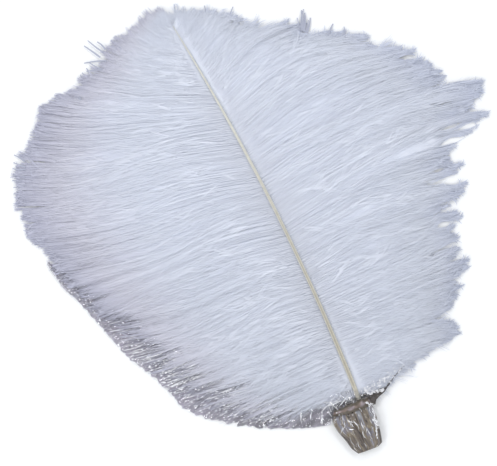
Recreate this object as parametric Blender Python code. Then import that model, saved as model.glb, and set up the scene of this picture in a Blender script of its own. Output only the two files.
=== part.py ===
"""A white ostrich plume lying on a flat surface, its quill end gathered in clear film under a band.

Frame: +Y runs along the shaft from the quill end to the tip, +X is the side of the right vane and
+Z is up. The origin is on the surface, below the middle of the plume. Lengths are in metres.
"""

import math
import random

import bmesh
import bpy
from mathutils import Vector

# Shaft: a shallow bow to the left, seen from above. Its heights and radii are pairs with the distance
# along it first.
SHAFT_LENGTH = 0.335
SHAFT_TURN = math.radians(11.25)
QUILL_END = Vector((-0.0089, -0.1747))
SHAFT_HEIGHTS = (
    (0.0, 0.0050), (0.035, 0.0052), (0.09, 0.0084), (0.17, 0.0102), (0.25, 0.0080), (0.335, 0.0032),
)
SHAFT_RADII = (
    (0.0, 0.0016), (0.012, 0.0022), (0.04, 0.0022), (0.12, 0.0019), (0.22, 0.0012), (0.335, 0.0005),
)
SHAFT_POINTS = 26
# Steps by which the paths of the shaft, and of a lock from one ring to the next, are summed.
SHAFT_STEPS = 40
PATH_STEPS = 6

# Vanes: the barbs hang together in locks. Each pair is a share of the vane from its base, and the length
# of the barbs there.
VANE_START = 0.0455
LOCKS_A_SIDE = 30
LEFT_REACH = (
    (0.0, 0.062), (0.033, 0.084), (0.1, 0.114), (0.133, 0.125), (0.2, 0.133), (0.3, 0.148), (0.4, 0.159),
    (0.5, 0.166), (0.583, 0.172), (0.7, 0.162), (0.767, 0.131), (0.833, 0.089), (0.9, 0.057), (1.0, 0.020),
)
RIGHT_REACH = (
    (0.0, 0.034), (0.033, 0.062), (0.067, 0.093), (0.133, 0.101), (0.2, 0.108), (0.333, 0.121),
    (0.367, 0.136), (0.433, 0.132), (0.5, 0.168), (0.567, 0.181), (0.6, 0.154), (0.7, 0.125),
    (0.767, 0.106), (0.8, 0.088), (0.867, 0.057), (0.9, 0.043), (1.0, 0.016),
)
# Angle between a barb and the shaft's way to the tip, in degrees: where it leaves the shaft, part way out
# and at its own tip, each at five places from the vane's base to its tip.
LEFT_SPLAY = ((82, 76, 70, 66, 38), (94, 94, 90, 72, 30), (92, 84, 76, 50, 18))
RIGHT_SPLAY = ((92, 86, 80, 76, 38), (92, 90, 88, 86, 50), (92, 97, 105, 118, 78))
BEND_AT = 0.45

# A lock: a strap with a crowned top that fills the room between its neighbours and narrows to its barb
# tips. The widths are shares of the distance between the locks on its two sides. ROOT_SINK is how far its
# root lies below the middle of the shaft, and ROOT_OVERLAP how far it starts past that middle.
LOCK_RINGS = (0.0, 0.13, 0.29, 0.45, 0.61, 0.76, 0.88, 0.96, 1.0)
LOCK_SHARES = (0.36, 0.36, 0.36, 0.36, 0.36, 0.34, 0.28, 0.18, 0.05)
LOCK_MOST_HALF_WIDTH = 0.0110
LOCK_LEAST_HALF_WIDTH = 0.0010
LOCK_CROWN = 0.22
ROOT_SINK = 0.0016
ROOT_OVERLAP = 0.003
LOCK_UNDERSIDE = -0.004
LOCK_UNDERSIDE_STEP = -0.0001
LOCK_TIP_HEIGHT = 0.0009
LOCK_DROOP = 2.6
LOCK_HEIGHT_SPREAD = 0.0005
LOCK_REACH_SPREAD = 0.03
# The lock at the plume's tip: places along it from the shaft's end, and its half width and height at each.
TIP_LOCK_RINGS = (-0.020, -0.008, 0.003, 0.010, 0.014)
TIP_LOCK_RADII = (0.0040, 0.0060, 0.0060, 0.0040, 0.0012)
TIP_LOCK_HEIGHTS = (0.0028, 0.0026, 0.0021, 0.0014, 0.0009)

# Film: a flat pleated pouch round the quill, and a sheet from its neck that lies under the left vane's edge.
# The pouch's half widths and its offsets to the left of the quill are pairs with the distance along the
# shaft first. The sheet's outline is counted from the quill's end.
POUCH_HALF_WIDTHS = (
    (-0.0015, 0.0095), (0.003, 0.0118), (0.009, 0.0142), (0.018, 0.0158), (0.026, 0.0142), (0.0315, 0.0128),
    (0.037, 0.0128), (0.040, 0.0136),
)
POUCH_OFFSETS = ((-0.0015, 0.0050), (0.018, 0.0085), (0.040, 0.0073))
POUCH_MIDDLE_HEIGHT = 0.0050
POUCH_THICKNESS = 0.36
POUCH_PLEATS = 9
PLEAT_DEPTH = 0.16
SHEET_THICKNESS = 0.0008
SHEET_ROOM_MARGIN = 0.002
SHEET_ROOM_DEPTH = 0.01
SHEET_OUTLINE = (
    (-0.014, 0.031), (-0.025, 0.025), (-0.045, 0.0335), (-0.067, 0.0454), (-0.085, 0.058), (-0.104, 0.0754),
    (-0.113, 0.088), (-0.117, 0.1), (-0.123, 0.116), (-0.133, 0.135), (-0.14, 0.159), (-0.147, 0.185),
    (-0.151, 0.2), (-0.15, 0.206), (-0.141, 0.196), (-0.129, 0.18), (-0.117, 0.163), (-0.105, 0.145),
    (-0.094, 0.127), (-0.082, 0.11), (-0.063, 0.09), (-0.030, 0.068), (-0.005, 0.053), (0.013, 0.045),
    (0.027, 0.0405), (0.032, 0.0365), (0.021, 0.0325), (0.012, 0.029), (-0.001, 0.035),
)

# Band: a flat strip wound once round the pouch's neck.
BAND_FROM = 0.0322
BAND_TO = 0.0372
BAND_THICKNESS = 0.0007
BAND_ROOM = 0.002
BAND_SIDES = 32

# Clearances: GAP is between pieces, and CUT_PAST is how far a cutter runs on past what it cuts.
GAP = 0.0003
CUT_PAST = 0.001
GROUND_SIZE = 0.6
FEATHER_COLOUR = (0.86, 0.88, 0.94, 1.0)
FILM_COLOUR = (0.93, 0.93, 0.94, 1.0)
BAND_COLOUR = (0.52, 0.44, 0.40, 1.0)


def read_at(stations, where):
    """The value at a place between the stations, which are pairs in rising order."""
    for (low, before), (high, after) in zip(stations, stations[1:]):
        if where <= high:
            return before + (after - before) * max(0.0, where - low) / (high - low)
    return stations[-1][1]


def eased_at(stations, where):
    """As read_at, with the slopes between stations smoothed."""
    reach = SHAFT_LENGTH / 12
    around = (-1.0, -0.5, 0.0, 0.5, 1.0)
    return sum(read_at(stations, where + step * reach) for step in around) / len(around)


def heading(along):
    """The shaft's way to the tip at a distance along it, as an angle from +X."""
    return math.pi / 2 + SHAFT_TURN * (along / SHAFT_LENGTH - 0.5)


def shaft_point(along, aside=0.0, height=None):
    """A point of the shaft's centreline, or one aside from it to the left."""
    point = QUILL_END.copy()
    for step in range(SHAFT_STEPS):
        angle = heading(along * (step + 0.5) / SHAFT_STEPS)
        point += Vector((math.cos(angle), math.sin(angle))) * along / SHAFT_STEPS
    angle = heading(along)
    point += Vector((-math.sin(angle), math.cos(angle))) * aside
    return Vector((point.x, point.y, eased_at(SHAFT_HEIGHTS, along) if height is None else height))


def lock_line(side, share, reach):
    """Points along the middle of a lock, in plan. side is 1 for the left vane and -1 for the right one."""
    splay = LEFT_SPLAY if side > 0 else RIGHT_SPLAY
    places = [step / (len(splay[0]) - 1) for step in range(len(splay[0]))]
    leaves, turns, ends = (math.radians(read_at(tuple(zip(places, row)), share)) for row in splay)
    along = VANE_START + (SHAFT_LENGTH - VANE_START) * share
    first_way = heading(along) + side * leaves
    root = shaft_point(along, height=0.0)
    points = [root - Vector((math.cos(first_way), math.sin(first_way), 0.0)) * ROOT_OVERLAP]
    point = root.copy()
    for before, after in zip(LOCK_RINGS, LOCK_RINGS[1:]):
        for step in range(PATH_STEPS):
            out = before + (after - before) * (step + 0.5) / PATH_STEPS
            if out < BEND_AT:
                angle = leaves + (turns - leaves) * out / BEND_AT
            else:
                angle = turns + (ends - turns) * (out - BEND_AT) / (1 - BEND_AT)
            way = heading(along) + side * angle
            point += Vector((math.cos(way), math.sin(way), 0.0)) * reach * (after - before) / PATH_STEPS
        points.append(point.copy())
    return points


def lock_half_widths(line, before, after):
    """The half width at each ring of a lock's line, from the lines of the locks on its two sides."""
    widths = []
    for point, one, other, share in zip(line, before, after, LOCK_SHARES):
        room = (point - one).length + (point - other).length
        widths.append(min(LOCK_MOST_HALF_WIDTH, max(LOCK_LEAST_HALF_WIDTH, room * share)))
    return widths


def lock_heights(root_height, lift):
    """How far a lock's sides stand above the surface at each of its rings, as it droops from its root."""
    heights = []
    for out in LOCK_RINGS:
        droop = (root_height - LOCK_TIP_HEIGHT) * (1 - out) ** LOCK_DROOP
        heights.append(LOCK_TIP_HEIGHT + droop + lift * math.sin(math.pi * out))
    return heights


def new_collection(name, shown=True):
    collection = bpy.data.collections.new(name)
    bpy.context.scene.collection.children.link(collection)
    collection.hide_render = not shown
    return collection


def new_material(name, colour, roughness, transmission=0.0):
    material = bpy.data.materials.new(name)
    material.use_nodes = True
    shader = material.node_tree.nodes["Principled BSDF"]
    shader.inputs["Base Color"].default_value = colour
    shader.inputs["Roughness"].default_value = roughness
    shader.inputs["Transmission Weight"].default_value = transmission
    return material


def new_curve(name, points, radii, collection):
    """A POLY curve through the points, upright all along, with a radius at each point."""
    curve = bpy.data.curves.new(name, "CURVE")
    curve.dimensions = "3D"
    curve.twist_mode = "Z_UP"
    curve.use_fill_caps = True
    spline = curve.splines.new("POLY")
    spline.points.add(len(points) - 1)
    for spot, point, radius in zip(spline.points, points, radii):
        spot.co = (*point, 1.0)
        spot.radius = radius
    made = bpy.data.objects.new(name, curve)
    collection.objects.link(made)
    return made


def new_profile(name, outline, collection):
    """A closed flat curve that serves as the section of other curves."""
    curve = bpy.data.curves.new(name, "CURVE")
    curve.dimensions = "2D"
    spline = curve.splines.new("POLY")
    spline.points.add(len(outline) - 1)
    for spot, (across, up) in zip(spline.points, outline):
        spot.co = (across, up, 0.0, 1.0)
    spline.use_cyclic_u = True
    made = bpy.data.objects.new(name, curve)
    made.hide_render = True
    collection.objects.link(made)
    return made


def as_mesh(curve_object):
    """The curve's shape as a closed mesh object of the same name, with the curve removed."""
    bpy.context.view_layer.update()
    graph = bpy.context.evaluated_depsgraph_get()
    mesh = bpy.data.meshes.new_from_object(curve_object.evaluated_get(graph))
    cleaned = bmesh.new()
    cleaned.from_mesh(mesh)
    bmesh.ops.remove_doubles(cleaned, verts=cleaned.verts, dist=1e-6)
    bmesh.ops.recalc_face_normals(cleaned, faces=cleaned.faces)
    cleaned.to_mesh(mesh)
    cleaned.free()
    name, place = curve_object.name, curve_object.matrix_world.copy()
    homes = list(curve_object.users_collection)
    bpy.data.objects.remove(curve_object)
    made = bpy.data.objects.new(name, mesh)
    made.matrix_world = place
    for home in homes:
        home.objects.link(made)
    return made


def as_helper(made):
    made.hide_render = True
    made.display_type = "WIRE"
    return made


def cut_with(target, operation, tool=None, tools=None):
    modifier = target.modifiers.new(operation.title(), "BOOLEAN")
    modifier.operation = operation
    modifier.solver = "EXACT"
    if tools is None:
        modifier.object = tool
    else:
        modifier.operand_type = "COLLECTION"
        modifier.collection = tools
    return modifier


def make_shaft(name, from_along, growth, collection):
    """The quill and rachis as one tapered rod. growth widens it, for the hole that the film leaves it."""
    length = SHAFT_LENGTH - from_along
    alongs = [from_along + length * step / (SHAFT_POINTS - 1) for step in range(SHAFT_POINTS)]
    radii = [read_at(SHAFT_RADII, along) + growth for along in alongs]
    rod = new_curve(name, [shaft_point(along) for along in alongs], radii, collection)
    rod.data.bevel_depth = 1.0
    rod.data.bevel_resolution = 2
    return as_mesh(rod)


def make_lock(name, line, radii, heights, underside, profile, collection):
    """A strap along a flat line, whose upright sides are then raised to the height of each ring."""
    strap = new_curve(name, line, radii, collection)
    strap.data.bevel_mode = "OBJECT"
    strap.data.bevel_object = profile
    strap = as_helper(as_mesh(strap))
    for vertex in strap.data.vertices:
        spot = Vector((vertex.co.x, vertex.co.y, 0.0))
        ring = min(range(len(line)), key=lambda number: (line[number] - spot).length)
        if vertex.co.z < -1e-6:
            vertex.co.z = underside
        else:
            vertex.co.z += heights[ring]
    return strap


def make_locks(collection, helpers):
    """One closed strap for each lock of both vanes, and one that ends the plume at its tip."""
    half_crown = LOCK_CROWN * 0.72
    section = (
        (-1.0, -1.0), (1.0, -1.0), (1.0, 0.0), (0.55, half_crown), (0.0, LOCK_CROWN),
        (-0.55, half_crown), (-1.0, 0.0),
    )
    profile = new_profile("lock_section", section, helpers)
    draw = random.Random(7)
    shares = [(number + 0.5) / LOCKS_A_SIDE for number in range(LOCKS_A_SIDE)]
    for side, reaches, side_name in ((1, LEFT_REACH, "left"), (-1, RIGHT_REACH, "right")):
        spreads = [1 + draw.uniform(-1, 1) * LOCK_REACH_SPREAD for _ in shares]
        reach_of = [read_at(reaches, share) * spread for share, spread in zip(shares, spreads)]
        lines = [lock_line(side, share, reach) for share, reach in zip(shares, reach_of)]
        for number, share in enumerate(shares):
            before = lines[number - 1 if number else 1]
            after = lines[number + 1 if number + 1 < LOCKS_A_SIDE else number - 1]
            half_widths = lock_half_widths(lines[number], before, after)
            root_height = shaft_point(VANE_START + (SHAFT_LENGTH - VANE_START) * share).z - ROOT_SINK
            lift = draw.uniform(-1, 1) * LOCK_HEIGHT_SPREAD
            heights = lock_heights(root_height, lift)
            underside = LOCK_UNDERSIDE + LOCK_UNDERSIDE_STEP * number
            name = f"lock_{side_name}_{number + 1:02d}"
            make_lock(name, lines[number], half_widths, heights, underside, profile, collection)
    end = shaft_point(SHAFT_LENGTH, height=0.0)
    way = Vector((math.cos(heading(SHAFT_LENGTH)), math.sin(heading(SHAFT_LENGTH)), 0.0))
    line = [end + way * out for out in TIP_LOCK_RINGS]
    make_lock("lock_tip", line, TIP_LOCK_RADII, TIP_LOCK_HEIGHTS, 2 * LOCK_UNDERSIDE, profile, collection)


def make_ground_cutter(collection):
    """A block whose top is the surface that the plume lies on."""
    bpy.ops.mesh.primitive_cube_add(size=GROUND_SIZE, location=(0.0, 0.0, -GROUND_SIZE / 2))
    block = bpy.context.active_object
    block.name = "ground_cutter"
    for home in list(block.users_collection):
        home.objects.unlink(block)
    collection.objects.link(block)
    return as_helper(block)


def make_sheet(name, thickness, margin, base, collection):
    """The film's flat sheet, from its outline, with a margin added all round."""
    outline = [QUILL_END + Vector(point) for point in SHEET_OUTLINE]
    curve = bpy.data.curves.new(name, "CURVE")
    curve.dimensions = "2D"
    curve.fill_mode = "BOTH"
    curve.extrude = thickness / 2
    curve.offset = margin
    spline = curve.splines.new("POLY")
    spline.points.add(len(outline) - 1)
    for spot, point in zip(spline.points, outline):
        spot.co = (*point, 0.0, 1.0)
    spline.use_cyclic_u = True
    made = bpy.data.objects.new(name, curve)
    made.location.z = base + thickness / 2
    collection.objects.link(made)
    return as_mesh(made)


def pouch_section():
    """A flat oval with pleats that run along the pouch, one unit in half width."""
    points = []
    count = POUCH_PLEATS * 4
    for number in range(count):
        angle = 2 * math.pi * number / count
        fold = 1 + PLEAT_DEPTH * (0.5 * math.cos(angle * POUCH_PLEATS) - 0.5)
        points.append((math.cos(angle) * (0.5 + 0.5 * fold), math.sin(angle) * POUCH_THICKNESS * fold))
    return points


def pouch_line(alongs):
    return [shaft_point(along, read_at(POUCH_OFFSETS, along), POUCH_MIDDLE_HEIGHT) for along in alongs]


def make_pouch(collection, helpers):
    alongs = [along for along, _ in POUCH_HALF_WIDTHS]
    widths = [width for _, width in POUCH_HALF_WIDTHS]
    pouch = new_curve("film_wrap", pouch_line(alongs), widths, collection)
    pouch.data.bevel_mode = "OBJECT"
    pouch.data.bevel_object = new_profile("pouch_section", pouch_section(), helpers)
    return as_mesh(pouch)


def make_band_body(name, outward, from_along, to_along, collection, helpers):
    """A plain oval drum round the neck, outward of the pouch's own surface."""
    alongs = (from_along, to_along)
    half_width = read_at(POUCH_HALF_WIDTHS, (BAND_FROM + BAND_TO) / 2) + outward
    half_height = half_width * POUCH_THICKNESS + outward * (1 - POUCH_THICKNESS)
    angles = [2 * math.pi * number / BAND_SIDES for number in range(BAND_SIDES)]
    oval = [(math.cos(angle) * half_width, math.sin(angle) * half_height) for angle in angles]
    drum = new_curve(name, pouch_line(alongs), [1.0, 1.0], collection)
    drum.data.bevel_mode = "OBJECT"
    drum.data.bevel_object = new_profile(name + "_section", oval, helpers)
    return as_mesh(drum)


def main():
    for old in list(bpy.data.objects):
        bpy.data.objects.remove(old)
    plume = new_collection("ostrich_plume")
    locks = new_collection("locks", shown=False)
    helpers = new_collection("cutters", shown=False)

    feather = make_shaft("feather", 0.0, 0.0, plume)
    feather.data.materials.append(new_material("feather", FEATHER_COLOUR, 0.9))
    make_locks(locks, helpers)
    cut_with(feather, "UNION", tools=locks)
    ground = make_ground_cutter(helpers)
    cut_with(feather, "DIFFERENCE", ground)
    room_thickness = SHEET_ROOM_DEPTH + SHEET_THICKNESS + GAP
    sheet_room = make_sheet("sheet_room", room_thickness, SHEET_ROOM_MARGIN, -SHEET_ROOM_DEPTH, helpers)
    cut_with(feather, "DIFFERENCE", as_helper(sheet_room))

    film = make_pouch(plume, helpers)
    film.data.materials.append(new_material("film", FILM_COLOUR, 0.15, transmission=1.0))
    sheet = as_helper(make_sheet("sheet", SHEET_THICKNESS, 0.0, 0.0, helpers))
    cut_with(film, "UNION", sheet)
    cut_with(film, "DIFFERENCE", ground)
    quill_room = as_helper(make_shaft("quill_room", -GAP, GAP, helpers))
    cut_with(film, "DIFFERENCE", quill_room)
    past_ends = (BAND_FROM - CUT_PAST, BAND_TO + CUT_PAST)
    band_room = make_band_body("band_room", BAND_ROOM, BAND_FROM - GAP, BAND_TO + GAP, helpers, helpers)
    neck = make_band_body("neck", -GAP, *past_ends, helpers, helpers)
    cut_with(band_room, "DIFFERENCE", as_helper(neck))
    cut_with(film, "DIFFERENCE", as_helper(band_room))

    band = make_band_body("band", BAND_THICKNESS, BAND_FROM, BAND_TO, plume, helpers)
    band.data.materials.append(new_material("band", BAND_COLOUR, 0.35))
    band_hole = make_band_body("band_hole", 0.0, *past_ends, helpers, helpers)
    cut_with(band, "DIFFERENCE", as_helper(band_hole))
    cut_with(band, "DIFFERENCE", ground)

    for made in (feather, film, band):
        made.data.shade_smooth()
        made.data.set_sharp_from_angle(angle=math.radians(40))


main()
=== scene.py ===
"""The looks of a white ostrich plume that lies on a pale surface, its quill gathered in clear film.

The file is laid out as an add-on and run as a script. Lengths are in metres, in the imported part's frame:
+Y runs along the shaft to the plume's tip, +X is the side of the right vane and +Z is up.
"""

import math
from typing import NamedTuple

import bmesh
import bpy
import numpy as np
from mathutils import Matrix, Vector, noise
from mathutils.bvhtree import BVHTree


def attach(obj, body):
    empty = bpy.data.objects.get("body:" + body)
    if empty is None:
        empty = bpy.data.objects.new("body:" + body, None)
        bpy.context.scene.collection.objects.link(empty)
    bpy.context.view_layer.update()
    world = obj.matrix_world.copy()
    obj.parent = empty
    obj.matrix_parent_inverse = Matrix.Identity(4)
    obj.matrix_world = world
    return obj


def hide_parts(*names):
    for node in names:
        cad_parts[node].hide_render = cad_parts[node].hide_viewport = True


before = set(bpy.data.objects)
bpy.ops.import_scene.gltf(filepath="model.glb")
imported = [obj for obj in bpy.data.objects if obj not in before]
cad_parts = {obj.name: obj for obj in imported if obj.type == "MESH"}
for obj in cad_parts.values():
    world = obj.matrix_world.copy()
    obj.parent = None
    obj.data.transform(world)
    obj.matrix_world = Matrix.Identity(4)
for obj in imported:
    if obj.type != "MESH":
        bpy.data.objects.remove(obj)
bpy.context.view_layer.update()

bl_info = {
    "name": "Ostrich Plume",
    "version": (1, 0, 0),
    "blender": (4, 5, 0),
    "location": "3D View > Sidebar > Plume",
    "description": "Builds the barbs, rachis and film wrap of a white ostrich plume",
    "category": "Add Mesh",
}

LEFT, RIGHT = 1, -1

# The shaft, with distances along it from the quill's end.
QUILL_END = Vector((-0.0089, -0.1747, 0.0))
SHAFT_LENGTH = 0.335
SHAFT_TURN = math.radians(11.25)
SHAFT_ALONG = (0.0, 0.035, 0.09, 0.17, 0.25, 0.335)
SHAFT_HEIGHT = (0.0050, 0.0052, 0.0088, 0.0108, 0.0092, 0.0052)
RADIUS_ALONG = (0.0, 0.012, 0.04, 0.085, 0.14, 0.20, 0.26, 0.31, 0.335)
SHAFT_RADIUS = (0.0014, 0.0020, 0.0016, 0.0014, 0.0012, 0.0011, 0.0009, 0.0005, 0.0002)
VANE_START = 0.0385

# How far the barbs reach, by their share of the way from the vane's base to its tip. Only the lobes' peaks
# and shoulders and the notches between them are given.
LEFT_REACH = (
    (0.00, 0.065), (0.06, 0.088), (0.10, 0.110), (0.14, 0.124), (0.22, 0.130), (0.30, 0.143), (0.40, 0.156),
    (0.44, 0.158), (0.50, 0.168), (0.54, 0.168), (0.56, 0.175), (0.66, 0.170), (0.70, 0.162), (0.72, 0.150),
    (0.77, 0.134), (0.80, 0.107), (0.83, 0.092), (0.85, 0.080), (0.87, 0.075), (0.92, 0.055), (0.95, 0.039),
    (1.00, 0.017),
)
RIGHT_REACH = (
    (0.00, 0.024), (0.03, 0.053), (0.05, 0.083), (0.08, 0.088), (0.10, 0.079), (0.12, 0.090), (0.16, 0.097),
    (0.20, 0.110), (0.27, 0.116), (0.28, 0.111), (0.30, 0.122), (0.34, 0.111), (0.36, 0.129), (0.38, 0.137),
    (0.43, 0.130), (0.46, 0.171), (0.51, 0.149), (0.53, 0.173), (0.57, 0.182), (0.58, 0.156), (0.63, 0.153),
    (0.65, 0.147), (0.72, 0.139), (0.74, 0.126), (0.76, 0.130), (0.80, 0.086), (0.82, 0.084), (0.84, 0.069),
    (0.88, 0.051), (0.92, 0.043), (1.00, 0.012),
)
# Where the left vane's upper barbs end, as a share of the reach. Past it the film covers the lower barbs.
COVER = (
    (0.00, 0.14), (0.04, 0.26), (0.08, 0.42), (0.12, 0.54), (0.16, 0.64), (0.20, 0.71), (0.24, 0.78),
    (0.28, 0.83), (0.32, 0.86), (0.36, 0.89), (0.44, 0.93), (0.50, 0.97), (0.56, 1.00),
)
# Angle between a barb and the shaft's way to the tip, in degrees: at its root, at BEND_AT of the way out and
# at its tip, each by shares along the vane.
SPLAY_SHARES = (0.0, 0.25, 0.5, 0.75, 1.0)
LEFT_SPLAY = ((82, 76, 70, 66, 40), (94, 94, 90, 72, 32), (92, 84, 76, 50, 20))
RIGHT_SPLAY = ((92, 86, 80, 76, 40), (92, 90, 88, 86, 52), (92, 97, 105, 118, 80))
BEND_AT = 0.45
# The height of a vane's body, as a share of its strands' height.
BODY_HEIGHT = 0.69

# Small gaps between the tufts: x, y, half their length, half their width, and their way in degrees.
PARTINGS = (
    (0.1358, 0.0278, 0.0018, 0.0010, -18), (0.1403, 0.0256, 0.0016, 0.0009, -12),
    (0.1386, 0.0073, 0.0034, 0.0020, -24), (0.1512, 0.0035, 0.0046, 0.0024, -30),
    (0.1250, 0.0039, 0.0030, 0.0019, -22), (0.1333, -0.0005, 0.0054, 0.0025, -24),
    (0.1177, -0.0161, 0.0026, 0.0018, -20), (0.1236, -0.0285, 0.0026, 0.0019, -20),
    (0.1042, -0.0530, 0.0032, 0.0022, -14), (0.1325, 0.0669, 0.0046, 0.0020, -34),
    (0.0099, -0.0658, 0.0100, 0.0004, 4), (-0.1562, 0.0874, 0.0075, 0.0011, -30),
    (-0.1643, 0.0790, 0.0038, 0.0011, -44),
)
# Single fibres that stand out past the vanes' edges: x and y of their root, their way in degrees and their
# length.
FIBRES = (
    (-0.0641, 0.1686, 116, 0.0104), (-0.0675, 0.1666, 119, 0.0104), (-0.0663, 0.1606, 161, 0.0124),
    (-0.0711, 0.1578, 125, 0.0066), (-0.0719, 0.1561, 160, 0.0076), (-0.0773, 0.1556, 98, 0.0050),
    (-0.0810, 0.1500, 96, 0.0090), (-0.0850, 0.1500, 82, 0.0084), (-0.0905, 0.1452, 80, 0.0066),
    (-0.0925, 0.1446, 71, 0.0054), (-0.0604, 0.1704, 114, 0.0044), (-0.0503, 0.1652, 113, 0.0052),
    (-0.1042, 0.1443, 122, 0.0068), (-0.1253, 0.1338, 124, 0.0040), (0.0764, 0.1188, 64, 0.0100),
    (0.0744, 0.1198, 70, 0.0072), (0.0786, 0.1169, 53, 0.0073), (0.0912, 0.1084, 41, 0.0055),
    (0.0317, 0.1501, 44, 0.0061), (0.0166, 0.1582, 78, 0.0059), (0.0997, 0.1011, 71, 0.0058),
    (-0.0159, 0.1668, 119, 0.0050), (-0.1511, 0.1184, 134, 0.0055), (-0.1533, 0.1155, 147, 0.0052),
    (-0.1552, 0.1116, 146, 0.0051), (-0.1568, 0.1084, 154, 0.0052), (-0.1586, 0.1045, 164, 0.0044),
    (-0.1605, 0.1007, 164, 0.0044), (-0.1489, 0.1229, 124, 0.0054),
    (0.0728, 0.1213, 74, 0.0058), (0.0741, 0.1207, 62, 0.0095), (0.0747, 0.1204, 66, 0.0112),
    (0.0754, 0.1201, 63, 0.0120), (0.0760, 0.1198, 69, 0.0108), (0.0764, 0.1188, 60, 0.0080),
    (0.0773, 0.1175, 52, 0.0056),
)

# The film's edges, from the neck round to the left: the free edge, and the edge among the barbs.
FILM_FREE_EDGE = (
    (-0.027, -0.140), (-0.030, -0.147), (-0.037, -0.146), (-0.054, -0.1395), (-0.078, -0.1275),
    (-0.094, -0.1165), (-0.1115, -0.1030), (-0.1215, -0.0915), (-0.126, -0.076), (-0.132, -0.059),
    (-0.142, -0.040), (-0.1496, -0.0131), (-0.1545, 0.005), (-0.1582, 0.0163), (-0.162, 0.0246),
    (-0.164, 0.036), (-0.165, 0.045),
)
FILM_INNER_EDGE = (
    (-0.011, -0.136), (-0.018, -0.131), (-0.025, -0.121), (-0.034, -0.109), (-0.049, -0.097),
    (-0.065, -0.084), (-0.076, -0.068), (-0.088, -0.052), (-0.100, -0.041), (-0.112, -0.024),
    (-0.122, -0.002), (-0.134, 0.010), (-0.146, 0.022), (-0.155, 0.033), (-0.160, 0.041),
    (-0.164, 0.048),
)
# The same two edges of the short fold on the right.
FOLD_FREE_EDGE = (
    (0.0006, -0.1459), (0.0030, -0.1473), (0.0054, -0.1441), (0.0090, -0.1430), (0.0130, -0.1418),
    (0.0184, -0.1388), (0.0244, -0.1354), (0.0350, -0.1314),
)
FOLD_INNER_EDGE = (
    (-0.0037, -0.1347), (0.0008, -0.1327), (0.0052, -0.1330), (0.0090, -0.1352), (0.0120, -0.1390),
    (0.0172, -0.1376), (0.0244, -0.1343), (0.0350, -0.1305),
)
# The free edge runs ahead of the inner one, as the share along it to this power.
FILM_LEAD = 0.72

# The pouch round the quill, from its closed end to the neck: its left side and its right side.
POUCH_LEFT = (
    (-0.0236, -0.1735), (-0.0262, -0.1679), (-0.0275, -0.1609), (-0.0296, -0.1535), (-0.0303, -0.1484),
    (-0.0290, -0.1430), (-0.0264, -0.1406), (-0.0240, -0.1378), (-0.0228, -0.1364),
)
POUCH_RIGHT = (
    (-0.0078, -0.1752), (-0.0042, -0.1735), (-0.0027, -0.1685), (-0.0010, -0.1617), (0.0006, -0.1532),
    (0.0010, -0.1480), (0.0000, -0.1450), (-0.0010, -0.1420), (-0.0014, -0.1392),
)
# The pouch's stripes, from its left side at -1 to its right at 1: near its closed end, and near the neck.
LOW_STRIPES = (
    (-1.00, 0.85), (-0.80, 0.60), (-0.62, 0.75), (-0.50, 0.72), (-0.42, 0.42), (-0.34, 0.72), (-0.12, 0.78),
    (-0.02, 0.50), (0.12, 0.52), (0.22, 0.66), (0.28, 0.32), (0.55, 0.30), (0.66, 0.62), (0.78, 0.30),
    (0.86, 0.72), (1.00, 0.85),
)
HIGH_STRIPES = (
    (-1.00, 0.55), (-0.85, 0.28), (-0.60, 0.20), (-0.40, 0.30), (-0.28, 0.72), (-0.12, 0.76), (-0.02, 0.62),
    (0.06, 0.85), (0.12, 0.10), (0.32, 0.08), (0.40, 0.74), (0.62, 0.62), (0.72, 0.20), (0.84, 0.05),
    (0.92, 0.30), (1.00, 0.80),
)
# Painted glints: white ribbons that stand for the highlights where the film and its pouch are creased, from
# x, y to x, y, and their width.
PAINTED_GLINTS = (
    (-0.0022, -0.1423, 0.0004, -0.1462, 0.0018), (0.0000, -0.1464, 0.0005, -0.1518, 0.0019),
    (-0.0002, -0.1518, -0.0018, -0.1557, 0.0015), (-0.0022, -0.1548, -0.0016, -0.1615, 0.0024),
    (-0.0032, -0.1606, -0.0066, -0.1690, 0.0010), (-0.0010, -0.1560, -0.0026, -0.1663, 0.0007),
    (-0.0194, -0.1473, -0.0158, -0.1514, 0.0006), (-0.0218, -0.1541, -0.0186, -0.1556, 0.0008),
    (-0.0116, -0.1527, -0.0119, -0.1581, 0.0007), (-0.0131, -0.1591, -0.0137, -0.1652, 0.0007),
    (-0.0164, -0.1495, -0.0148, -0.1559, 0.0007), (-0.0245, -0.1496, -0.0286, -0.1554, 0.0005),
    (-0.0219, -0.1476, -0.0262, -0.1532, 0.0006), (-0.0195, -0.1646, -0.0200, -0.1720, 0.0003),
    (-0.0231, -0.1582, -0.0223, -0.1682, 0.0003), (-0.0122, -0.1292, -0.0272, -0.1387, 0.0006),
    (-0.0173, -0.1315, -0.0327, -0.1337, 0.0006), (-0.0211, -0.1329, -0.0349, -0.1350, 0.0006),
    (-0.0096, -0.1321, -0.0211, -0.1361, 0.0006), (-0.0163, -0.1344, -0.0279, -0.1320, 0.0005),
    (-0.0199, -0.1287, -0.0305, -0.1291, 0.0006), (-0.0118, -0.1334, -0.0163, -0.1376, 0.0005),
    (-0.0244, -0.1297, -0.0223, -0.1387, 0.0004), (-0.0285, -0.1317, -0.0278, -0.1384, 0.0005),
    (-0.0336, -0.1356, -0.0374, -0.1433, 0.0011), (-0.0297, -0.1375, -0.0284, -0.1413, 0.0010),
    (-0.0456, -0.1274, -0.0503, -0.1371, 0.0009), (-0.0397, -0.1318, -0.0432, -0.1373, 0.0007),
    (-0.0297, -0.1423, -0.0328, -0.1471, 0.0009), (0.0001, -0.1352, 0.0049, -0.1351, 0.0011),
    (0.0049, -0.1351, 0.0088, -0.1386, 0.0010), (0.0091, -0.1386, 0.0150, -0.1370, 0.0007),
    (0.0032, -0.1320, 0.0090, -0.1332, 0.0007), (0.0164, -0.1334, 0.0228, -0.1323, 0.0007),
)
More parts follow.
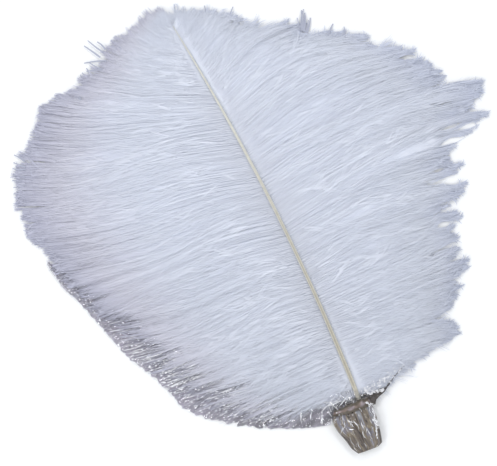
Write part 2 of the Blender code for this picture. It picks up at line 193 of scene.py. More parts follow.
# Painted glints among the right vane's lowest barbs, laid out as the glints above are, and where their
# specks lie.
BASE_PAINTED_GLINTS = (
    (0.0013, -0.1326, 0.0017, -0.1368, 0.0019), (0.0014, -0.1358, 0.0065, -0.1383, 0.0013),
    (0.0072, -0.1386, 0.0130, -0.1399, 0.0022), (0.0135, -0.1322, 0.0117, -0.1376, 0.0011),
    (0.0180, -0.1311, 0.0158, -0.1357, 0.0010), (0.0184, -0.1353, 0.0203, -0.1379, 0.0013),
    (0.0225, -0.1349, 0.0270, -0.1355, 0.0010), (0.0302, -0.1323, 0.0321, -0.1332, 0.0010),
    (-0.0089, -0.1109, -0.0079, -0.1122, 0.0011),
)
BASE_GLINT_LINE = ((0.0015, -0.1350), (0.0330, -0.1335))
# The collar's edge at the neck and its free rim, and the band's two edges, from left to right.
COLLAR_NECK = ((-0.0262, -0.1384), (-0.0130, -0.1394), (0.0002, -0.1397))
COLLAR_RIM = (
    (-0.0345, -0.1318), (-0.0230, -0.1268), (-0.0110, -0.1288), (-0.0020, -0.1335), (0.0052, -0.1378),
)
BAND_LOWER = ((-0.0287, -0.1418), (0.0008, -0.1461))
BAND_UPPER = ((-0.0258, -0.1379), (0.0010, -0.1391))
# The height of the pouch's middle, and its thickness as a share of its width.
POUCH_HEIGHT = 0.0050
POUCH_FLATNESS = 0.34
FILM_THICKNESS = 0.00006
POUCH_THICKNESS = 0.00010

# Where the cover is below this, film lies over the vane and hides this share of its strands, the lowest.
FILMED = 0.985
HIDDEN_LAYERS = 0.36
# Strands bend more closely towards their ends than at their roots.
STRAND_BUNCH = 1.4
# The lowest that a strand's middle and a side hair's tip lie.
LOWEST_STRAND = 0.0004
LOWEST_TIP = 0.0003
BARBULE_WIDTH = 0.00015
MATTED_LENGTH = 0.016
# The steps of a path that other paths start from, and the points of a painted glint.
GUIDE_STEPS = 40
GLINT_POINTS = 5
# Short and long painted glints that follow the barbs under the skirt: their number, how far along the vane
# they lie, and the shortest and longest of their lengths and widths.
SHORT_PAINTED_GLINTS = (360, 0.30, 0.0008, 0.0024, 0.0004, 0.0010)
LONG_PAINTED_GLINTS = (170, 0.36, 0.0050, 0.0170, 0.0002, 0.0005)

# Camera: it looks straight down on this point, and its picture's top points this way.
VIEW_CENTRE = Vector((-0.02495, 0.00295, 0.0))
VIEW_TURN = math.radians(-25.9)
VIEW_WIDTH = 0.3565
VIEW_LENS = 85.0
VIEW_SENSOR = 36.0
# The height of the plane that is VIEW_WIDTH across in the picture.
VIEW_PLANE = 0.004

# Lamps that all point at the origin: name, place, size and power in watts.
LAMPS = (
    ("key", (-0.45, 0.60, 1.15), 0.20, 3.0), ("left_lamp", (-0.85, -0.25, 0.95), 0.20, 2.2),
    ("right_lamp", (0.70, 0.10, 1.15), 0.20, 2.3), ("low_lamp", (0.05, -0.80, 0.95), 0.20, 1.6),
    ("far_lamp", (0.35, 0.85, 1.00), 0.22, 1.9), ("high_lamp", (-0.30, 0.25, 1.30), 0.12, 0.9),
)
ROOM_LIGHT = 0.65
SURFACE_HALF = 1.5


class Vane(NamedTuple):
    """How the barbs of one vane lie, where the two vanes differ."""

    name: str
    seed: int
    reach: tuple
    splay: tuple
    # How much shorter a tuft's outer strands are, and how far its tufts swing, in degrees.
    tuft_point: float
    tuft_swing: float
    # How strongly its tufts and teeth draw the strands in, and how much rougher it is at its base.
    drawn: float
    rough_base: float
    end_shade: float
    # Its frayed wisps, and how far askew they lie, in radians.
    frayed: int
    askew: float


VANES = {
    LEFT: Vane(
        name="left", seed=11, reach=LEFT_REACH, splay=LEFT_SPLAY, tuft_point=0.006, tuft_swing=1.2,
        drawn=0.45, rough_base=0.2, end_shade=0.82, frayed=800, askew=0.30,
    ),
    RIGHT: Vane(
        name="right", seed=23, reach=RIGHT_REACH, splay=RIGHT_SPLAY, tuft_point=0.020, tuft_swing=1.8,
        drawn=1.0, rough_base=1.8, end_shade=0.89, frayed=1700, askew=0.62,
    ),
}


def count_property(name, description, default, least):
    """A whole number that a user may change."""
    return bpy.props.IntProperty(name=name, description=description, default=default, min=least)


def length_property(name, description, default):
    """A length that a user may change."""
    return bpy.props.FloatProperty(
        name=name, description=description, default=default, subtype="DISTANCE", unit="LENGTH"
    )


def colour_property(name, description, default):
    """A colour that a user may change."""
    return bpy.props.FloatVectorProperty(
        name=name, description=description, default=default, size=3, subtype="COLOR"
    )


class PlumeShape(bpy.types.PropertyGroup):
    """The plume's sizes and counts."""

    strands: count_property("Strands", "Long strands in each vane", 6600, 100)
    strand_steps: count_property("Strand steps", "Lengths that a long strand is bent into", 15, 4)
    strand_width: length_property("Strand width", "Width of a strand where it is widest", 0.00026)
    teeth: count_property("Teeth", "Small points along a vane's edge", 190, 8)
    tufts: count_property("Tufts", "Broad tufts that the strands of a vane gather into", 74, 4)
    wisps: count_property("Wisps", "Narrow wisps that the strands of a vane gather into", 460, 8)
    loose_wisps: count_property("Loose wisps", "Short wisps that lie askew on top of each vane", 430, 4)
    stems: count_property("Stems", "Bare barb stems beside the shaft, on each side", 215, 8)
    barbules: count_property("Barbules", "Short side hairs in each vane", 159000, 100)
    barbule_length: length_property("Barbule length", "Length of the side hairs", 0.0075)


class PlumeColours(bpy.types.PropertyGroup):
    """The plume's colours."""

    barb: colour_property("Barbs", "Colour of the barbs", (0.83, 0.86, 0.95))
    # The barbs' ends are painted greyer and bluer, as shade at the vane's edges.
    barb_tip: colour_property("Barb tips", "Colour of the barbs' ends", (0.64, 0.69, 0.83))
    barb_root: colour_property("Barb roots", "Colour of the barbs beside the shaft", (0.80, 0.82, 0.90))
    tinge: colour_property("Lilac tinge", "Tint of the barbs where they are lilac", (1.0, 0.945, 0.965))
    shaft: colour_property("Shaft", "Colour of the rachis near the quill", (0.60, 0.565, 0.475))
    shaft_tip: colour_property("Shaft tip", "Colour of the rachis near its tip", (0.68, 0.665, 0.60))
    # The groove's tint is painted shade in the rachis's groove.
    groove: colour_property("Groove", "Tint of the rachis in its groove", (0.66, 0.64, 0.62))
    film: colour_property("Film", "Tint of the film's upper layer", (0.96, 0.955, 0.985))
    film_under: colour_property("Lower film", "Tint of the film's lower layer", (0.83, 0.785, 0.90))
    pouch: colour_property("Pouch", "Colour of the gathered film in its clearest pleats", (0.50, 0.51, 0.52))
    pouch_grey: colour_property(
        "Pouch, doubled", "Colour of the gathered film where it lies double", (0.30, 0.285, 0.345)
    )
    pouch_gold: colour_property(
        "Pouch, yellowed", "Colour of the gathered film in its yellow pleats", (0.38, 0.315, 0.22)
    )
    pouch_shade: colour_property(
        "Pouch pleats", "Colour of the gathered film in its brown pleats", (0.225, 0.185, 0.16)
    )
    pouch_fold: colour_property(
        "Pouch folds", "Colour of the gathered film where it is folded thick", (0.085, 0.07, 0.062)
    )
    # Painted glints: the white of the ribbons that stand for the film's highlights.
    painted_glint: colour_property("Creases", "Colour of the film's sharpest creases", (0.93, 0.93, 0.96))
    band: colour_property("Band", "Colour of the band", (0.30, 0.25, 0.265))
    band_tan: colour_property("Band, tanned", "Colour of the band's browner stretches", (0.20, 0.145, 0.12))
    band_edge: colour_property("Band edge", "Colour of the band's edges", (0.085, 0.068, 0.05))
    floor: colour_property("Surface", "Colour of the surface below", (0.93, 0.93, 0.93))
    room: colour_property("Room light", "Colour of the light from all round", (0.91, 0.95, 1.0))


# -------------------------------------------------------------------------------- the flow of barbs

def heading(along):
    """The shaft's way to the tip at distances along it, as angles from +X."""
    return math.pi / 2 + SHAFT_TURN * (along / SHAFT_LENGTH - 0.5)


def smooth_height(along):
    """The height of the shaft's middle, rounded off between its stations."""
    window = SHAFT_LENGTH / 12 * np.linspace(-1, 1, 9)
    return np.interp(np.add.outer(along, window), SHAFT_ALONG, SHAFT_HEIGHT).mean(-1)


def shaft_points(along):
    """Points of the shaft's centreline at distances along it."""
    along = np.asarray(along, float)
    rate = SHAFT_TURN / SHAFT_LENGTH
    start, here = heading(0.0), heading(along)
    x = QUILL_END.x + (np.sin(here) - math.sin(start)) / rate
    y = QUILL_END.y - (np.cos(here) - math.cos(start)) / rate
    return np.stack([x, y, smooth_height(along)], -1)


def distance_at(share):
    """The distance along the shaft at a share of the way from the vane's base to its tip."""
    return VANE_START + (SHAFT_LENGTH - VANE_START) * share


def read_table(table, share):
    """The value of a table of (share, value) pairs at shares."""
    return np.interp(share, *np.transpose(table))


def reach_of(side, share):
    """How far the barbs of a vane reach at shares of the way to the tip."""
    return read_table(VANES[side].reach, share)


def eased(value, low, high):
    """0 below low, 1 above high and a smooth rise between."""
    share = np.clip((value - low) / (high - low), 0.0, 1.0)
    return share * share * (3 - 2 * share)


def drift(share, out):
    """Slow swings of the barbs' way over a vane, as angles."""
    return math.radians(2.6) * (
        np.sin(31 * share + 4.0 * out + 0.7) + np.sin(17 * share - 7.0 * out + 2.1)
        + 0.8 * np.sin(57 * share + 9.0 * out + 4.0)
    )


def bunched(steps, bunch):
    """Shares of the way along a strand where it bends, closer together towards its end if bunch is over 1."""
    return 1 - (1 - np.linspace(0, 1, steps + 1)) ** bunch


def directions(angle):
    """Plan unit vectors that point along angles."""
    return np.stack([np.cos(angle), np.sin(angle)], -1)


def walk(root, angle, length):
    """Plan paths that leave their roots in straight steps, each of a length and along an angle."""
    steps = directions(angle) * length
    return np.concatenate([root[:, None], root[:, None] + np.cumsum(steps, 1)], 1)


def with_height(plan, z):
    """Plan paths with their heights added."""
    return np.concatenate([plan, z[..., None]], -1)


def flow(side, share, reach, steps, waver=0.0, narrow=1.0, bunch=1.0):
    """Plan paths of barbs, as an array of barbs by steps + 1 by (x, y)."""
    rows = VANES[side].splay
    leaves, turns, ends = (np.radians(np.interp(share, SPLAY_SHARES, row))[:, None] for row in rows)
    along = distance_at(share)
    bends = bunched(steps, bunch)
    out = (bends[1:] + bends[:-1]) / 2
    near = leaves + (turns - leaves) * (out / BEND_AT)
    far = turns + (ends - turns) * ((out - BEND_AT) / (1 - BEND_AT))
    swing = drift(share[:, None] + 0.3 * side, out) * eased(out, 0.0, 0.3)
    angle = heading(along)[:, None] + side * np.where(out < BEND_AT, near, far) * narrow + swing + waver
    return walk(shaft_points(along)[:, :2], angle, (reach[:, None] * np.diff(bends))[..., None])


def vane_top(share, out):
    """The height of a vane's upper surface, at shares along the shaft and shares of the way out."""
    edge, arch, highest = 0.0022, 0.0020, 0.011
    root = smooth_height(distance_at(share))
    rise = arch * np.sin(math.pi * np.clip(out * 1.15, 0, 1)) * np.clip(root / highest, 0.3, 1.0)
    return edge + (root - edge) * (1 - out) ** 1.35 + rise


def waves(rng, count, out, slowest, fastest):
    """Smooth random waves between about -1 and 1, an array of count by the places in out."""
    total = np.zeros((count, len(out)))
    for _ in range(3):
        rate = rng.uniform(slowest, fastest, count)[:, None]
        total += np.sin(2 * math.pi * (rate * out + rng.random(count)[:, None]))
    return total / 1.8


def gather(rng, share, groups, blur):
    """The group that each share falls in, its borders blurred, and the places of the groups' middles."""
    group = np.clip((share * groups + rng.normal(0, blur, len(share))).astype(int), 0, groups - 1)
    return group, (np.arange(groups) + 0.5 + rng.uniform(-0.33, 0.33, groups)) / groups


def place_in(points, parting):
    """Where plan points lie in a parting: how far along it and how far across it."""
    x, y, long, wide, way = parting
    turn = math.radians(way)
    apart = points - np.array([x, y])
    return (
        apart @ np.array([math.cos(turn), math.sin(turn)]) / long,
        apart @ np.array([-math.sin(turn), math.cos(turn)]) / wide,
    )


def push_aside(path):
    """Pushes the paths of barbs aside where there is a gap between tufts."""
    for parting in PARTINGS:
        along, across = place_in(path, parting)
        near = np.clip(1 - (0.4 * along) ** 2, 0, 1) ** 0.5 * np.exp(-np.abs(across) / 2)
        turn = math.radians(parting[4])
        way = np.sign((across * near).sum(1) + 1e-9)[:, None, None]
        path = path + (near * parting[3])[..., None] * way * np.array([-math.sin(turn), math.cos(turn)])
    return path


def clear_of_gaps(path, room):
    """Which paths pass clear of the gaps between tufts, each gap made larger by room."""
    clear = np.ones(len(path), bool)
    for parting in PARTINGS:
        along, across = place_in(path[..., :2], parting)
        clear &= ((along ** 2 + across ** 2) > room ** 2).all(1)
    return clear


def lightness(side, share, reached):
    """How light the barbs are: darker near the quill, and darker towards their ends as painted shade, most on
    the left.
    """
    along = np.interp(share, (0.0, 0.15, 0.35, 0.6, 0.8, 1.0), (0.86, 0.885, 0.93, 0.955, 0.94, 0.90))
    end = VANES[side].end_shade
    return along * np.interp(reached, (0.0, 0.12, 0.4, 0.62, 0.9, 1.0), (0.97, 1.0, 1.0, 0.97, end, end))


def lilac(side, reached):
    """How lilac the barbs are: the left vane's ends most."""
    return eased(reached, 0.45, 0.95) if side == LEFT else 0.25 * eased(reached, 0.7, 1.0)


class Strands:
    """The long strands of one vane: their middles and their places in the vane."""

    def __init__(self, side, rng, shape):
        count = shape.strands
        self.side, self.rng, self.shape = side, rng, shape
        self.share = (np.arange(count) + rng.random(count)) / count
        self.layer = rng.random(count) ** 0.8
        self.reach = reach_of(side, self.share)
        self.cover = read_table(COVER, self.share) if side == LEFT else np.ones(count)
        self.filmed = self.cover < FILMED
        self.covered = (self.layer < HIDDEN_LAYERS) & (side == LEFT)
        self.shown = ~self.covered | (self.cover > FILMED)
        self.blade = 0.9 * np.where(self.filmed, 0.42, 1.0)
        self.wisp, self.wisp_at = gather(rng, self.share, shape.wisps, 0.30)
        tooth_of_wisp, self.tooth_at = gather(rng, self.wisp_at, shape.teeth, 0.12)
        tuft_of_tooth, self.tuft_at = gather(rng, self.tooth_at, shape.tufts, 0.10)
        self.tooth = tooth_of_wisp[self.wisp]
        self.tuft = tuft_of_tooth[self.tooth]
        self.length = self.lengths()
        self.out = bunched(shape.strand_steps, STRAND_BUNCH)
        plan = self.plan_paths()
        self.reached = np.clip(self.out * (self.length / self.reach)[:, None], 0, 1)
        self.path = with_height(plan, np.maximum(self.heights(), LOWEST_STRAND))
        shade = 0.5 * rng.random(shape.wisps)[self.wisp] + 0.5 * rng.random(count)
        self.shade = lightness(side, self.share[:, None], self.reached) * (0.975 + 0.05 * shade[:, None])
        self.lilac = lilac(side, self.reached)

    def lengths(self):
        """Tufts and teeth come to points, a few wisps stand out, and film covers the rest of the lowest."""
        tooth_spread, notch_depth, wisp_spread = 0.0024, 0.0050, 0.0022
        spiked_share, short_share, shortest = 0.20, 0.20, 0.006
        rng, share, count, wisps, wisp = self.rng, self.share, len(self.share), self.shape.wisps, self.wisp
        off_tuft = np.clip(np.abs(share - self.tuft_at[self.tuft]) * self.shape.tufts, 0, 1)
        off_tooth = np.clip(np.abs(share - self.tooth_at[self.tooth]) * self.shape.teeth, 0, 1)
        ragged = 1.0 if self.side == RIGHT else 0.45 + 0.45 * eased(share, 0.75, 0.9)
        length = self.reach * (1.0 - VANES[self.side].tuft_point * off_tuft ** 1.5)
        uneven = rng.normal(-0.0003, tooth_spread, self.shape.teeth)[self.tooth]
        length += ragged * (uneven - notch_depth * off_tooth)
        length -= 0.0006 + 0.0012 * eased(share, 0.60, 0.80)
        length -= ragged * np.abs(rng.normal(0, wisp_spread, wisps))[wisp]
        spiked = rng.random(wisps)[wisp] < spiked_share
        length += np.where(spiked, ragged * rng.uniform(0.0010, 0.0045, wisps)[wisp], 0.0)
        cut_short = rng.random(count) < short_share
        length *= np.where(cut_short, rng.uniform(0.5, 0.97, count), rng.uniform(0.992, 1.0, count))
        length = np.maximum(length, shortest)
        if self.side == LEFT:
            bare = np.clip((1 - self.cover) / 0.2, 0, 1)
            first = self.cover * (1 - 0.10 * bare)
            past = rng.random(wisps)[wisp] ** np.interp(share, (0.0, 0.25), (2.2, 1.2)) * (1 - first)
            ends = (first + past) * rng.uniform(1 - 0.12 * bare, 1.0) ** (1 + past)
            length = np.where(self.filmed & ~self.covered, length * np.minimum(ends, 1.0), length)
            under = length * rng.uniform(1 - 0.13 * bare, 1.0)
            length = np.where(self.filmed & self.covered, under, length)
        return length

    def plan_paths(self):
        """Plan paths of the strands, which near their ends are drawn to their wisp, tuft and tooth."""
        tooth_swing, wisp_swing = math.radians(4.0), math.radians(3.4)
        own_swing, stray_swing, stray_share = math.radians(2.0), math.radians(14.0), 0.03
        wisp_pull, tuft_pull, tooth_pull = 0.48, 0.16, 0.50
        wisp_end, tuft_end, tooth_end = 0.10, 0.024, 0.009
        rng, share, length, habit = self.rng, self.share, self.length, VANES[self.side]
        count, steps, out = len(share), self.shape.strand_steps, self.out
        mid = (out[1:] + out[:-1]) / 2
        tuft_turns = rng.normal(0, math.radians(habit.tuft_swing), self.shape.tufts)
        swing = tuft_turns[self.tuft][:, None] * mid
        tooth_turns = rng.normal(0, tooth_swing, self.shape.teeth)
        point = swing + tooth_turns[self.tooth][:, None] * eased(mid, 0.85, 1.0)
        wavers = waves(rng, self.shape.wisps, mid, 0.9, 4.0)[self.wisp]
        weave = point + wisp_swing * wavers * eased(mid, 0.0, 0.35)
        own = rng.normal(0, own_swing, count)[:, None] * mid
        stray = np.where(rng.random(count) < stray_share, rng.normal(0, stray_swing, count), 0.0)
        own += stray[:, None] * eased(mid, 0.75, 1.0)
        narrow = 1 - (rng.random(count) * eased(share, 0.90, 1.0))[:, None] ** 1.5

        path = flow(self.side, share, length, steps, weave + own, narrow, STRAND_BUNCH)
        loosened = np.where(self.filmed, 0.15, 1.0)
        for places, group, way, pull, end in (
            (self.wisp_at, self.wisp, weave, wisp_pull * np.ones(count), wisp_end),
            (self.tuft_at, self.tuft, swing, tuft_pull * habit.drawn * loosened, tuft_end),
            (self.tooth_at, self.tooth, point, tooth_pull * habit.drawn * loosened, tooth_end),
        ):
            towards = flow(self.side, places[group], length, steps, way, narrow, STRAND_BUNCH)
            drawn_in = eased(out, np.clip(1 - end / length, 0.04, 0.97)[:, None], 1.0)
            path += (towards - path) * (pull[:, None] * drawn_in)[..., None]
        return push_aside(path)

    def heights(self):
        """Strands leave the shaft's flanks and spread between the surface and the vane's top."""
        tuft_lift, wisp_lift, strand_lift, root_dip = 0.0006, 0.00020, 0.00013, 0.0013
        lowest, flank_top, flank_height = 0.0006, 0.0020, 0.0018
        under_film, hidden_height, over_film, shown_height = 0.0009, 0.0010, 0.0032, 0.0008
        rng, out, share, layer = self.rng, self.out, self.share, self.layer[:, None]
        wisps, count, rough_base = self.shape.wisps, len(share), VANES[self.side].rough_base
        top = vane_top(share[:, None], self.reached)
        lift = tuft_lift * rng.normal(0, 1, self.shape.tufts)[self.tuft][:, None] * eased(out, 0.1, 0.5)
        rough = wisp_lift * (1 + rough_base * (1 - eased(share, 0.15, 0.35)))[:, None]
        lift = lift + rough * waves(rng, wisps, out, 2.5, 8.0)[self.wisp] * eased(out, 0.03, 0.2)
        lift = lift + strand_lift * waves(rng, count, out, 2.0, 6.0)
        lift = lift - root_dip * (1 - eased(out * self.length[:, None], 0.002, 0.011))
        body = lowest + (top + lift - lowest) * (0.22 + 0.78 * layer)
        root = top[:, :1] - flank_top - flank_height * (1 - layer)
        spread = eased(out, 0.0, 0.10)
        z = root * (1 - spread) + body * spread
        if self.side == LEFT:
            past = eased(self.reached - self.cover[:, None], -0.16, -0.02) * self.filmed[:, None]
            low = under_film + hidden_height * layer / HIDDEN_LAYERS
            high = np.maximum(z, over_film + shown_height * layer)
            z = z + (np.where(self.covered[:, None], np.minimum(z, low), high) - z) * past
        return z

    def ring_at(self, spot):
        """The ring before a share of the way along each strand, and how far past that ring it lies."""
        place = np.interp(spot, self.out, np.arange(len(self.out)) * (1 - 1e-6))
        ring = place.astype(int)
        return ring, (place - ring)[..., None]


# -------------------------------------------------------------------------------- meshes of barbs

def tone_of(path, shade, reached=1.0, hue=1.0):
    """A tone at each point of paths: how light it is, how far out it lies, how lilac it is, and 1."""
    tone = np.ones((*path.shape[:2], 4))
    tone[..., 0] = shade
    tone[..., 1] = reached
    tone[..., 2] = hue
    return tone


def joined_mesh(name, corners, faces_a_strip, tone):
    """A mesh of many like strips. corners holds points by strip, and faces_a_strip the faces of one strip."""
    strips, points = corners.shape[:2]
    sides = faces_a_strip.shape[1]
    faces = (np.arange(strips)[:, None, None] * points + faces_a_strip[None]).reshape(-1, sides)
    mesh = bpy.data.meshes.new(name)
    mesh.vertices.add(strips * points)
    mesh.vertices.foreach_set("co", corners.reshape(-1).astype(np.float32))
    mesh.loops.add(faces.size)
    mesh.loops.foreach_set("vertex_index", faces.reshape(-1).astype(np.int32))
    mesh.polygons.add(len(faces))
    mesh.polygons.foreach_set("loop_start", (np.arange(len(faces)) * sides).astype(np.int32))
    mesh.update(calc_edges=True)
    layer = mesh.attributes.new("tone", "FLOAT_COLOR", "POINT")
    layer.data.foreach_set("color", tone.reshape(-1).astype(np.float32))
    mesh.shade_smooth()
    return mesh


def sideways_of(path, roll=0.0):
    """Unit vectors across each strand, level but for its roll, and the way that it runs."""
    way = np.gradient(path, axis=1)
    way /= np.linalg.norm(way, axis=-1, keepdims=True) + 1e-12
    level = np.stack([-way[..., 1], way[..., 0], np.zeros_like(way[..., 0])], -1)
    level /= np.linalg.norm(level, axis=-1, keepdims=True) + 1e-12
    turn = np.broadcast_to(roll, path.shape[:2])[..., None]
    return level * np.cos(turn) + np.cross(way, level) * np.sin(turn), way


def ribbon_mesh(name, path, half, tone, roll=0.0):
    """Flat ribbons along paths. half is half their width, by ribbon and ring."""
    count, rings = path.shape[:2]
    across, _ = sideways_of(path, roll)
    left, right = path + across * half[..., None], path - across * half[..., None]
    corners = np.stack([left, right], 2).reshape(count, rings * 2, 3)
    ring = np.arange(rings - 1)[:, None] * 2
    faces = np.concatenate([ring, ring + 1, ring + 3, ring + 2], 1)
    return joined_mesh(name, corners, faces, np.repeat(tone[:, :, None, :], 2, 2))


def strand_mesh(name, strands, width, rng):
    """The long strands, narrow at their roots and widest shortly before their ends."""
    count, out = len(strands.path), strands.out
    roll = rng.normal(0, 0.35, count)[:, None] + rng.normal(0, 0.4, count)[:, None] * out
    taper = (0.75 + 0.25 * eased(out, 0, 0.2)) * (1 + 0.45 * eased(out, 0.75, 0.93))
    taper = taper * (1 - 0.60 * eased(out, 0.94, 1.0))
    half = 0.5 * width * taper * rng.uniform(0.75, 1.25, count)[:, None]
    tone = tone_of(strands.path, strands.shade, strands.reached, strands.lilac)
    return ribbon_mesh(name, strands.path, half, tone, roll)


def tip_mesh(name, strands, rng):
    """The matted ends of the wisps: flat tapered blades along the last part of their longest strands."""
    shortness = -strands.length / reach_of(LEFT, strands.share)
    order = np.lexsort((shortness, ~strands.shown, strands.wisp))
    firsts = np.unique(strands.wisp[order], return_index=True)[1]
    chosen = np.concatenate([order[firsts + nth] for nth in (0, 1, 3, 5, 7)])
    chosen = chosen[strands.shown[chosen]]
    count = len(chosen)
    out = np.linspace(0, 1, 8)
    part = 1 - np.minimum(MATTED_LENGTH * rng.uniform(0.7, 1.2, count) / strands.length[chosen], 0.7)
    low, rest = strands.ring_at(part[:, None] + (1 - part[:, None]) * out)
    row = chosen[:, None]
    path = strands.path[row, low] * (1 - rest) + strands.path[row, low + 1] * rest
    path[..., 2] = np.maximum(path[..., 2] - 0.0006 * (1 - out), LOWEST_STRAND)
    half = strands.blade[chosen] * rng.uniform(0.0003, 0.0008, count)
    half = half[:, None] * eased(out, -0.25, 0.25) * (1 - eased(out, 0.45, 1.05))
    tone = tone_of(path, 0.97 * strands.shade[row, low], strands.reached[row, low], strands.lilac[row, low])
    roll = rng.normal(0, 0.12, count)[:, None] * np.ones(8)
    kept = clear_of_gaps(path, 1.25)
    return ribbon_mesh(name, path[kept], half[kept], tone[kept], roll[kept])


def frayed_mesh(name, side, strands, rng):
    """Small frayed wisps at a vane's edge, which leave the longest strands near their ends at an angle."""
    count, askew = VANES[side].frayed, VANES[side].askew
    longest = np.flatnonzero((strands.length / strands.reach > 0.95) & strands.shown)
    pick = rng.choice(longest, count)
    spot = 1 - rng.uniform(0.0015, 0.0065, count) / strands.length[pick]
    low, rest = strands.ring_at(spot)
    start, end = strands.path[pick, low], strands.path[pick, low + 1]
    root = start + (end - start) * rest
    out = np.linspace(0, 1, 5)
    angle = np.arctan2(*(end - start)[:, 1::-1].T) + rng.normal(0, askew, count)
    angle = angle[:, None] + rng.normal(0, 0.5, count)[:, None] * out[1:]
    length = (1 - spot) * strands.length[pick] * rng.uniform(0.4, 1.0, count) + rng.uniform(0, 0.0022, count)
    plan = walk(root[:, :2], angle, (length / 4)[:, None, None])
    z = np.maximum(root[:, 2] + rng.uniform(-0.0002, 0.0006, count), LOWEST_STRAND)
    path = with_height(plan, z[:, None] + np.zeros(5))
    half = rng.uniform(0.00018, 0.00040, count)[:, None] * (1 - 0.7 * eased(out, 0.5, 1.0))
    shade = strands.shade[pick, low] * rng.uniform(0.88, 1.03, count)
    tone = tone_of(
        path, shade[:, None], strands.reached[pick, low][:, None], strands.lilac[pick, low][:, None]
    )
    kept = clear_of_gaps(path, 1.1)
    return ribbon_mesh(name, path[kept], half[kept], tone[kept])


def fibre_mesh(name, rng):
    """Single fibres past the vanes' edges, each a bent ribbon with a blunt end and a root among the barbs."""
    hidden, steps = 0.004, 6
    x, y, way, length = np.transpose(FIBRES)
    out = np.linspace(0, 1, steps + 1)
    angle = np.radians(way)[:, None] + rng.normal(0, 0.35, len(x))[:, None] * (out - 0.5)
    start = np.stack([x, y], -1) - hidden * directions(angle[:, 0])
    plan = walk(start, angle[:, :-1], ((length + hidden) / steps)[:, None, None])
    path = with_height(plan, 0.0022 + rng.uniform(0, 0.0006, len(x))[:, None] - 0.0008 * out)
    half = 0.00058 * rng.uniform(0.8, 1.15, len(x))[:, None] * (1 - 0.35 * eased(out, 0.2, 1.0))
    return ribbon_mesh(name, path, half, tone_of(path, shade=0.62, hue=0.6))


def barbule_mesh(name, strands, chosen, count, length, rng):
    """Side hairs, each one thin triangle, that leave the chosen strands towards their ends."""
    path = strands.path[chosen]
    across, way = sideways_of(path)
    weight = 0.3 + strands.layer[chosen]
    pick = rng.choice(len(path), count, p=weight / weight.sum())
    spot = rng.random(count) ** 0.85
    low, part = strands.ring_at(spot)
    root = path[pick, low] * (1 - part) + path[pick, low + 1] * part
    side = across[pick, low] * rng.choice([-1.0, 1.0], count)[:, None]
    reached = strands.reached[chosen][pick, low]
    splay = np.abs(rng.normal(math.radians(17), math.radians(13), count))[:, None]
    splay *= 1 - 0.75 * eased(reached, 0.85, 1.0)[:, None]
    aim = way[pick, low] * np.cos(splay) + side * np.sin(splay)
    aim[:, 2] += rng.normal(0.02, 0.11, count)
    aim /= np.linalg.norm(aim, axis=-1, keepdims=True)
    left = strands.length[chosen][pick] * (1 - spot) + 0.0003
    size = length * (0.45 + 0.75 * eased(reached, 0.0, 0.25)) * rng.uniform(0.5, 1.25, count)
    size *= 1 - 0.4 * eased(reached, 0.9, 1.0)
    tip = root + aim * np.minimum(size, left)[:, None]
    tip[:, 2] = np.maximum(tip[:, 2], LOWEST_TIP)
    flat = np.cross(aim, np.array([0.0, 0.0, 1.0]))
    flat /= np.linalg.norm(flat, axis=-1, keepdims=True) + 1e-12
    corners = np.stack([root + flat * BARBULE_WIDTH / 2, root - flat * BARBULE_WIDTH / 2, tip], 1)
    shade = strands.shade[chosen][pick, low] * rng.uniform(0.97, 1.03, count)
    tone = tone_of(corners, shade[:, None], reached[:, None], strands.lilac[chosen][pick, low][:, None])
    clear = clear_of_gaps(np.stack([(root + tip) / 2, tip], 1), 1.0)
    return joined_mesh(name, corners[clear], np.array([[0, 1, 2]]), tone[clear])


def stem_mesh(name, side, count, rng):
    """Bare stems that stand side by side along the shaft before they sink among the strands."""
    steps = 10
    share = np.clip((np.arange(count) + 0.5 + rng.normal(0, 0.12, count)) / count, 0, 0.985)
    reach = reach_of(side, share)
    length = np.minimum(rng.uniform(0.013, 0.024, count), 0.55 * reach)
    waver = math.radians(2.5) * waves(rng, count, (np.arange(steps) + 0.5) / steps, 0.3, 1.2)
    out = np.arange(steps + 1) / steps
    reached = out * (length / reach)[:, None]
    risen = eased(out, 0, 0.25)
    crest = vane_top(share[:, None], reached) + 0.0002
    z = smooth_height(distance_at(share))[:, None] * (1 - risen) + crest * risen
    path = with_height(flow(side, share, length, steps, waver), z - 0.0022 * eased(out, 0.45, 1.0))
    half = 0.00017 * (1 - 0.5 * out) * rng.uniform(0.8, 1.3, count)[:, None]
    tone = tone_of(path, lightness(side, share[:, None], reached), reached, 0.0)
    return ribbon_mesh(name, path, half, tone)


